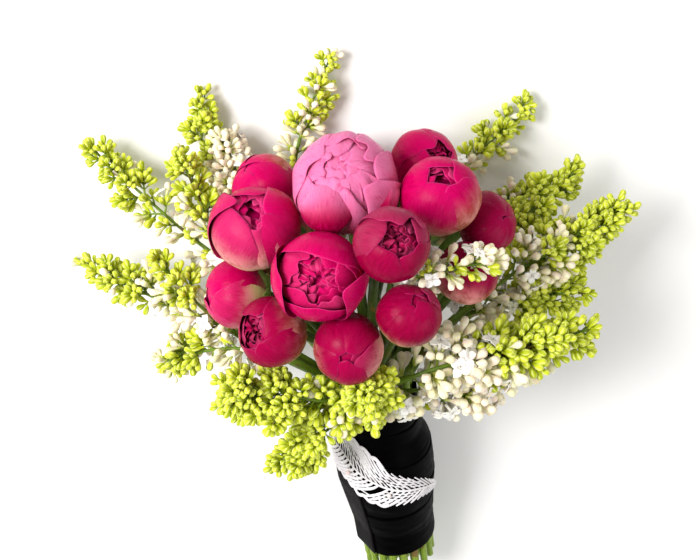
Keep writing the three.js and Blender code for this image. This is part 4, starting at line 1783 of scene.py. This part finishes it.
@dataclass
class RibbonWrap:
    """The black ribbon, wound round the handle in slanting turns that overlap.

    Attributes:
        handle: the bunch's axes.
        wide: the ribbon's width.
        pitch: how far each turn goes down the handle.
        slant_mm: how far a turn dips on one side.
        facet: the turn of the flat that runs down one side, in degrees, and half its width.
        thick: how thick it is.
    """

    handle: Handle
    wide: float = 44 * MM
    pitch: float = 27 * MM
    slant_mm: float = 5.0
    facet: tuple[float, float] = (-62.0, 22.0)
    thick: float = 0.4 * MM

    NODE = "ribbon_wrap"
    COLUMNS = 22  # points across the strip
    STEP = 4.0  # degrees from one row of points to the next
    START = 150  # the turn at which the strip begins, in degrees
    SLEEVE = 0.029  # about the radius of the wound handle
    TAIL_TOP = 0.160  # how far below the dome the tail begins

    def outline(self) -> tuple[Array, Array]:
        """Reads the CAD ribbon's outer radius down the handle.

        Returns:
            (n,) distances below the dome and (n,) radii there.
        """
        co = node_points(self.NODE)
        _, radius, below = self.handle.measure(co)
        rows = np.unique(np.round(below, 4))
        return rows, np.array([radius[np.abs(below - row) < 0.2 * MM].max() for row in rows])

    def radius_at(self, turn: Array, below: Array) -> Array:
        """Gives the outside of the wound ribbon, without its layers.

        Args:
            turn: degrees round the handle.
            below: distance below the dome.

        Returns:
            The radius.
        """
        rows, radii = self.outline()
        base = np.interp(below, rows, radii)
        middle, half = self.facet
        off = np.radians((np.asarray(turn) - middle + 180) % 360 - 180)
        flat = base * math.cos(math.radians(half)) / np.maximum(np.cos(off), 0.5)
        return np.minimum(base, flat + 0.1 * MM)

    def build(self, finishes: Finishes) -> list[bpy.types.Object]:
        """Builds the ribbon as one long strip, and its tail.

        Args:
            finishes: the materials.

        Returns:
            Its pieces, the strip and the tail.
        """
        rows, _ = self.outline()
        top, end = float(rows.min()), float(rows.max())
        turns = (end - top - self.wide) / self.pitch + 2.0
        a = np.arange(0, turns * 360 + self.STEP, self.STEP)[:, None]
        s = np.linspace(0, 1, self.COLUMNS)[None]
        turn = a + self.START
        rng = np.random.default_rng(41)
        ripple, crease = Ripple(rng, 2, 7), Ripple(rng, 1, 5)
        wander = 1.2 * np.sin(np.radians(a * 0.73 + 40))
        start = np.clip(top + self.pitch * (a / 360 - 1.0), top, end - self.wide * 0.999)
        below = start + self.wide * s + MM * (self.slant_mm * np.sin(np.radians(turn + 60)) + wander)
        below = np.clip(below, top + 0.2 * MM * s, end - 0.2 * MM * (1 - s))
        over = 1 - self.pitch / self.wide
        layer = smooth(over + 0.1 - s, 0, 0.12) * 0.4
        wrinkle = 0.08 * ripple(np.radians(a) * 0.55, s * 9) + 0.05 * crease(np.radians(a) * 2, s * 16)
        radius = self.radius_at(turn + 0 * s, below) + MM * (-0.55 + layer + wrinkle * (0.5 + smooth(s, 0.05, 0.3)))
        radius = radius + MM * 0.12 * (a / a.max())
        grid = self.handle.place(turn + 0 * s, radius, below)
        uv = np.stack([s * self.wide * CM + 0 * a, np.radians(a) * self.SLEEVE * CM + 0 * s], -1)
        mesher = Mesher()
        mesher.add(thin_solid(grid[:, ::-1], np.full(radius.shape, self.thick), uv, np.zeros((*radius.shape, 4))))
        piece = mesher.piece("ribbon_wrap_strip", finishes.ribbon, "ribbon", self.NODE)
        return [piece, self.tail(end, finishes)]

    def tail(self, end: float, finishes: Finishes) -> bpy.types.Object:
        """Builds the ribbon's end, laid down the flat of the handle with its dull back out, painted a little lighter
        than the face: partly the back's own duller colour, partly painted light for the flat that catches the lamp.

        Args:
            end: how far below the dome the ribbon reaches.
            finishes: the materials.

        Returns:
            The piece.
        """
        EDGE = 1.5  # how far past the flat it reaches, in degrees
        middle, half = self.facet
        v, u = np.meshgrid(np.linspace(0, 1, 40), np.linspace(-1, 1, 14), indexing="ij")
        below = self.TAIL_TOP + (end + 0.3 * MM - self.TAIL_TOP) * v
        turn = middle + u * (half + EDGE)
        ripple = Ripple(np.random.default_rng(43), 1, 5)
        radius = self.radius_at(turn, below) + MM * (0.5 + 0.10 * ripple(v * 3, u))
        grid = self.handle.place(turn, radius, below)
        wide = float(run_along(grid[len(grid) // 2])[-1])
        uv = np.stack([u * wide / 2 * CM, v * (end - self.TAIL_TOP) * CM], -1)
        mesher = Mesher()
        mesher.add(thin_solid(grid[:, ::-1], np.full(u.shape, self.thick), uv, np.zeros((*u.shape, 4))))
        piece = mesher.piece("ribbon_wrap_tail", finishes.ribbon_back_painted_light, "ribbon")
        return piece


@dataclass
class TwineTie:
    """The twine under the ribbon, wound side by side round the stems.

    Attributes:
        handle: the bunch's axes.
        thick: how thick the twine is.
    """

    handle: Handle
    thick: float = 2.0 * MM

    NODE = "twine_tie"
    LOOSE = 1.04  # from one turn to the next, as a share of the thickness
    POINTS = 28  # to a turn

    def build(self, finishes: Finishes) -> list[bpy.types.Object]:
        """Builds the winding.

        Args:
            finishes: the materials.

        Returns:
            Its one piece.
        """
        co = node_points(self.NODE)
        _, radius, below = self.handle.measure(co)
        low, high = float(below.min()) + self.thick / 2, float(below.max()) - self.thick / 2
        turns = (high - low) / (self.thick * self.LOOSE)
        a = np.linspace(0, turns * 360, int(turns * self.POINTS))
        place = np.interp(a, (0, turns * 360), (low, high))
        path = self.handle.place(a, np.full(len(a), float(radius.max()) - self.thick / 2), place)
        mesher = Mesher()
        mesher.add(tube(path, self.thick / 2, 7))
        return [mesher.piece("twine_tie_cord", finishes.twine, "twine", self.NODE)]


@dataclass
class LaceLeaf:
    """The white lace leaf on the ribbon, with its pearls.

    Attributes:
        handle: the bunch's axes.
        ribbon: what it lies on.
        veins: how many veins it has on each side.
        cord_mm: half the width of a vein.
        flat: its width and length.
        flat_area: the area of the cords laid so far.
    """

    handle: Handle
    ribbon: RibbonWrap
    veins: int = 30
    cord_mm: float = 0.95
    flat: tuple[float, float] = (0.042, 0.115)
    flat_area: float = 0.0

    NODE = "lace_leaf"
    FREE = 0.28  # where the veins start that have loose tips, from the narrow end
    SLIT = 14  # the vein left out on the lower side
    OPEN_BELOW = 0.7  # how far out the slit runs
    PEARL = 1.5 * MM  # a pearl's radius
    PEARLS = ((0.93, 0.35), (0.86, -0.2), (0.74, -0.55), (0.66, 0.42), (0.42, 0.3))
    HOLES = ((-1, 10, 13), (-1, 17, 20), (1, 8, 12))  # the side and the veins that have small holes between them

    def stations(self) -> tuple[Array, Array, Array]:
        """Reads the CAD leaf: its middle line, and how far it reaches to each side.

        Returns:
            (n,) turns in degrees, (n,) middles and (n,) half widths.
        """
        co = node_points(self.NODE)
        turn, _, below = self.handle.measure(co)
        marks = np.unique(np.round(turn, 1))[::-1]
        low = np.array([below[np.abs(turn - m) < 0.2].min() for m in marks])
        high = np.array([below[np.abs(turn - m) < 0.2].max() for m in marks])
        return marks, (low + high) / 2, (high - low) / 2

    def on_leaf(self, s: Array, y: Array, lift: Array | float = 0.0) -> tuple[Array, Array]:
        """Gives places on the leaf.

        Args:
            s: how far from the narrow end to the broad one, from 0 to 1.
            y: how far from the middle line to the outline, from -1 to 1, + down the handle.
            lift: how high over the ribbon.

        Returns:
            The places, and the ways out of the handle there.
        """
        marks, middle, half = self.stations()
        at = np.linspace(0, 1, len(marks))
        turn, below = np.interp(s, at, marks), np.interp(s, at, middle) + y * np.interp(s, at, half)
        radius = self.ribbon.radius_at(turn, below)
        point = self.handle.place(turn, radius + 1.0 * MM + lift, below)
        return point, unit(self.handle.place(turn, radius + 1, below) - point)

    def vein(self, k: float) -> tuple[float, float]:
        """Gives where a vein leaves the middle line, and how far along the leaf it runs."""
        start = 0.05 + 0.85 * k / self.veins
        return start, 0.07 + 0.10 * float(smooth(start, 0.1, 0.5))

    def cord(self, mesher: Mesher, s: Array, y: Array, half_mm: Array | float, lift: float = 0.0) -> None:
        """Lays a flat cord on the leaf and counts its area.

        Args:
            mesher: takes the cord.
            s: (n,) how far along the leaf.
            y: (n,) how far across it.
            half_mm: half its width.
            lift: how high over the ribbon, in millimetres.
        """
        path, out = self.on_leaf(s, y, lift * MM)
        half = np.broadcast_to(np.asarray(half_mm, float), len(path)) * MM
        mesher.add(tube(path, half, 8, deep=np.minimum(half * 0.6, 0.5 * MM), up=out))
        run = np.linalg.norm(np.diff(path, axis=0), axis=1)
        self.flat_area += float((run * (half[1:] + half[:-1])).sum())

    def build(self, finishes: Finishes) -> list[bpy.types.Object]:
        """Builds the leaf's cords and pearls.

        Args:
            finishes: the materials.

        Returns:
            Its pieces, the cloth and the pearls.
        """
        lace, pearls = Mesher(), Mesher()
        rng = np.random.default_rng(77)
        t = np.linspace(0, 1, 60)
        self.cord(lace, 0.02 + 0.93 * t, 0.02 * np.sin(t * 9), 1.0 - 0.4 * t, 0.35)
        around = np.linspace(0, 2 * math.pi, 16)
        self.cord(lace, 0.015 + 0.014 * np.cos(around), 0.6 * np.sin(around), 0.6)
        for sign in (-1.0, 1.0):
            tips = [self.lay_vein(lace, sign, k, rng) for k in range(self.veins)]
            self.scallops(lace, tips)
            self.ladders(lace, sign, rng)
        for s, y in self.PEARLS:
            place, out = self.on_leaf(np.array([s]), np.array([y]), self.PEARL)
            up = np.linspace(-1, 1, 9)
            wide = self.PEARL * np.sqrt(np.clip(1 - up**2, 0.01, 1))
            pearls.add(tube(place + up[:, None] * out * self.PEARL, wide, 14))
        piece = lace.piece("lace_leaf_cloth", finishes.lace, "lace", self.NODE)
        beads = pearls.piece("lace_leaf_pearls", finishes.pearl, "lace")
        LOG.info("lace: %.0f square mm of cord", self.flat_area * 1e6)
        return [piece, beads]

    def lay_vein(self, lace: Mesher, sign: float, k: int, rng: np.random.Generator) -> tuple[float, float, bool]:
        """Lays one vein from the middle line to the outline.

        Args:
            lace: takes the cord.
            sign: the side of the leaf, -1 or 1.
            k: the vein's number, from the narrow end.
            rng: the random numbers.

        Returns:
            Its tip, as its place along and across the leaf and whether it is loose.
        """
        start, reach = self.vein(k)
        free = start < self.FREE
        far = 0.97 if free else 1.0
        end = min(start + reach, 0.985)
        v = np.linspace(0, 1, 14)
        s = start + (end - start) * v**1.15
        y = sign * far * (v**0.85) * (1 + (rng.uniform(-0.06, 0.06) if free else 0))
        full = (0.85 if sign < 0 else 1.4) * (0.7 if free else 1.0)
        width = self.cord_mm * full * (0.6 + 0.4 * np.sin(math.pi * np.clip(v, 0.02, 0.98)) ** 0.7)
        for where, first, last in self.HOLES:
            if where == sign and first <= k <= last:
                width = width * np.where((v > 0.15) & (v < 0.6), 0.5, 1.0)
        if sign < 0 or k != self.SLIT:
            self.cord(lace, s, y, width, rng.uniform(0, 0.12))
        return end, sign * far, free

    def scallops(self, lace: Mesher, tips: list[tuple[float, float, bool]]) -> None:
        """Joins the tips of the veins with small bows.

        Args:
            lace: takes the cords.
            tips: each vein's tip, as its place along and across the leaf and whether it is loose.
        """
        BOW = 0.14  # how far a bow stands out, as a share of the leaf's half width
        bound = [tip for tip in tips if not tip[2]]
        for (s0, y0, _), (s1, y1, _) in zip(bound[::2], bound[2::2]):
            v = np.linspace(0, 1, 11)
            bow = BOW * np.sin(math.pi * v)
            for inward, wide in ((0.0, 0.75), (0.07, 0.9)):
                self.cord(lace, s0 + (s1 - s0) * v, y0 + (y1 - y0) * v + np.sign(y0) * (bow - inward), wide, 0.1)

    def ladders(self, lace: Mesher, sign: float, rng: np.random.Generator) -> None:
        """Lays the cross threads that leave rows of small holes between the veins.

        Args:
            lace: takes the cords.
            sign: the side of the leaf, -1 or 1.
            rng: the random numbers.
        """
        SKIPPED = 0.12  # the share of the threads that are left out
        for level in (0.25, 0.42, 0.6, 0.78):
            for k in range(self.veins - 1):
                start, reach = self.vein(k + 0.5)
                if start < 0.2 or rng.uniform() < SKIPPED:
                    continue
                if sign > 0 and self.SLIT - 1 <= k <= self.SLIT and level < self.OPEN_BELOW:
                    continue
                middle = start + reach * level**1.3
                gap = 0.85 / self.veins * 0.75
                self.cord(lace, np.array([middle - gap, middle, middle + gap]), np.full(3, sign * level), 0.5)


# ---------------------------------------------------------------- the studio


@dataclass
class Studio:
    """The pale table top and the soft light.

    Attributes:
        key_watts: how strong the key lamp is.
        fill_share: how strong the fill is, as a share of that.
        sky: how strong the white sky is.
    """

    key_watts: float = 23.0
    fill_share: float = 0.3
    sky: float = 0.5

    FLOOR = 6.0  # how wide the table top is
    DROP = 0.1 * MM  # how far it lies under the bunch
    AIM = (0.0, 0.05, 0.08)  # what the lamps point at

    def build(self) -> None:
        """Makes the floor, the lamps and the sky."""
        bpy.ops.mesh.primitive_plane_add(size=self.FLOOR, location=(0, 0, -self.DROP))
        floor = bpy.context.object
        floor.name = "floor"
        floor.data.materials.append(FloorFinish().make())
        for name, place, size, watts in (
            ("key", (-0.7, 0.55, 1.0), 0.6, self.key_watts),
            ("fill", (0.9, -0.5, 1.0), 0.9, self.key_watts * self.fill_share),
        ):
            data = bpy.data.lights.new(name, "AREA")
            data.energy, data.size = watts, size
            lamp = bpy.data.objects.new(name, data)
            lamp.location = place
            lamp.rotation_euler = (Vector(self.AIM) - Vector(place)).to_track_quat("-Z", "Y").to_euler()
            bpy.context.scene.collection.objects.link(lamp)
        world = bpy.data.worlds.new("sky")
        world.use_nodes = True
        shade = world.node_tree.nodes["Background"]
        shade.inputs["Color"].default_value, shade.inputs["Strength"].default_value = (1, 1, 1, 1), self.sky
        bpy.context.scene.world = world
        bpy.context.scene.view_settings.view_transform = "Standard"


def report(pieces: Iterable[bpy.types.Object]) -> None:
    """Logs each piece with its number of faces."""
    for piece in pieces:
        LOG.info("%s: %d faces", piece.name, len(piece.data.polygons))


def main() -> None:
    """Builds the bunch in order: the eye, the blooms, their stems, the lilac, the handle and the studio."""
    logging.basicConfig(level=logging.INFO, format="%(message)s")
    handle = Handle.read()
    eye = Eye(handle)
    eye.build()
    right, _, _ = eye.axes()
    finishes = Finishes()
    for peony in PEONIES:
        report(peony.build(handle, right, finishes))
    report(Stems().build(finishes))
    balls = [Ball.read(f"peony_{p.number:02d}", handle.way(*p.facing), right) for p in PEONIES]
    room = Room(handle, np.array([b.centre for b in balls]), np.array([b.radius for b in balls]))
    for sprig in SPRIGS:
        report(sprig.build(room, finishes))
    report(TwineTie(handle).build(finishes))
    ribbon = RibbonWrap(handle)
    report(ribbon.build(finishes))
    report(LaceLeaf(handle, ribbon).build(finishes))
    Studio().build()


if __name__ == "__main__":
    main()
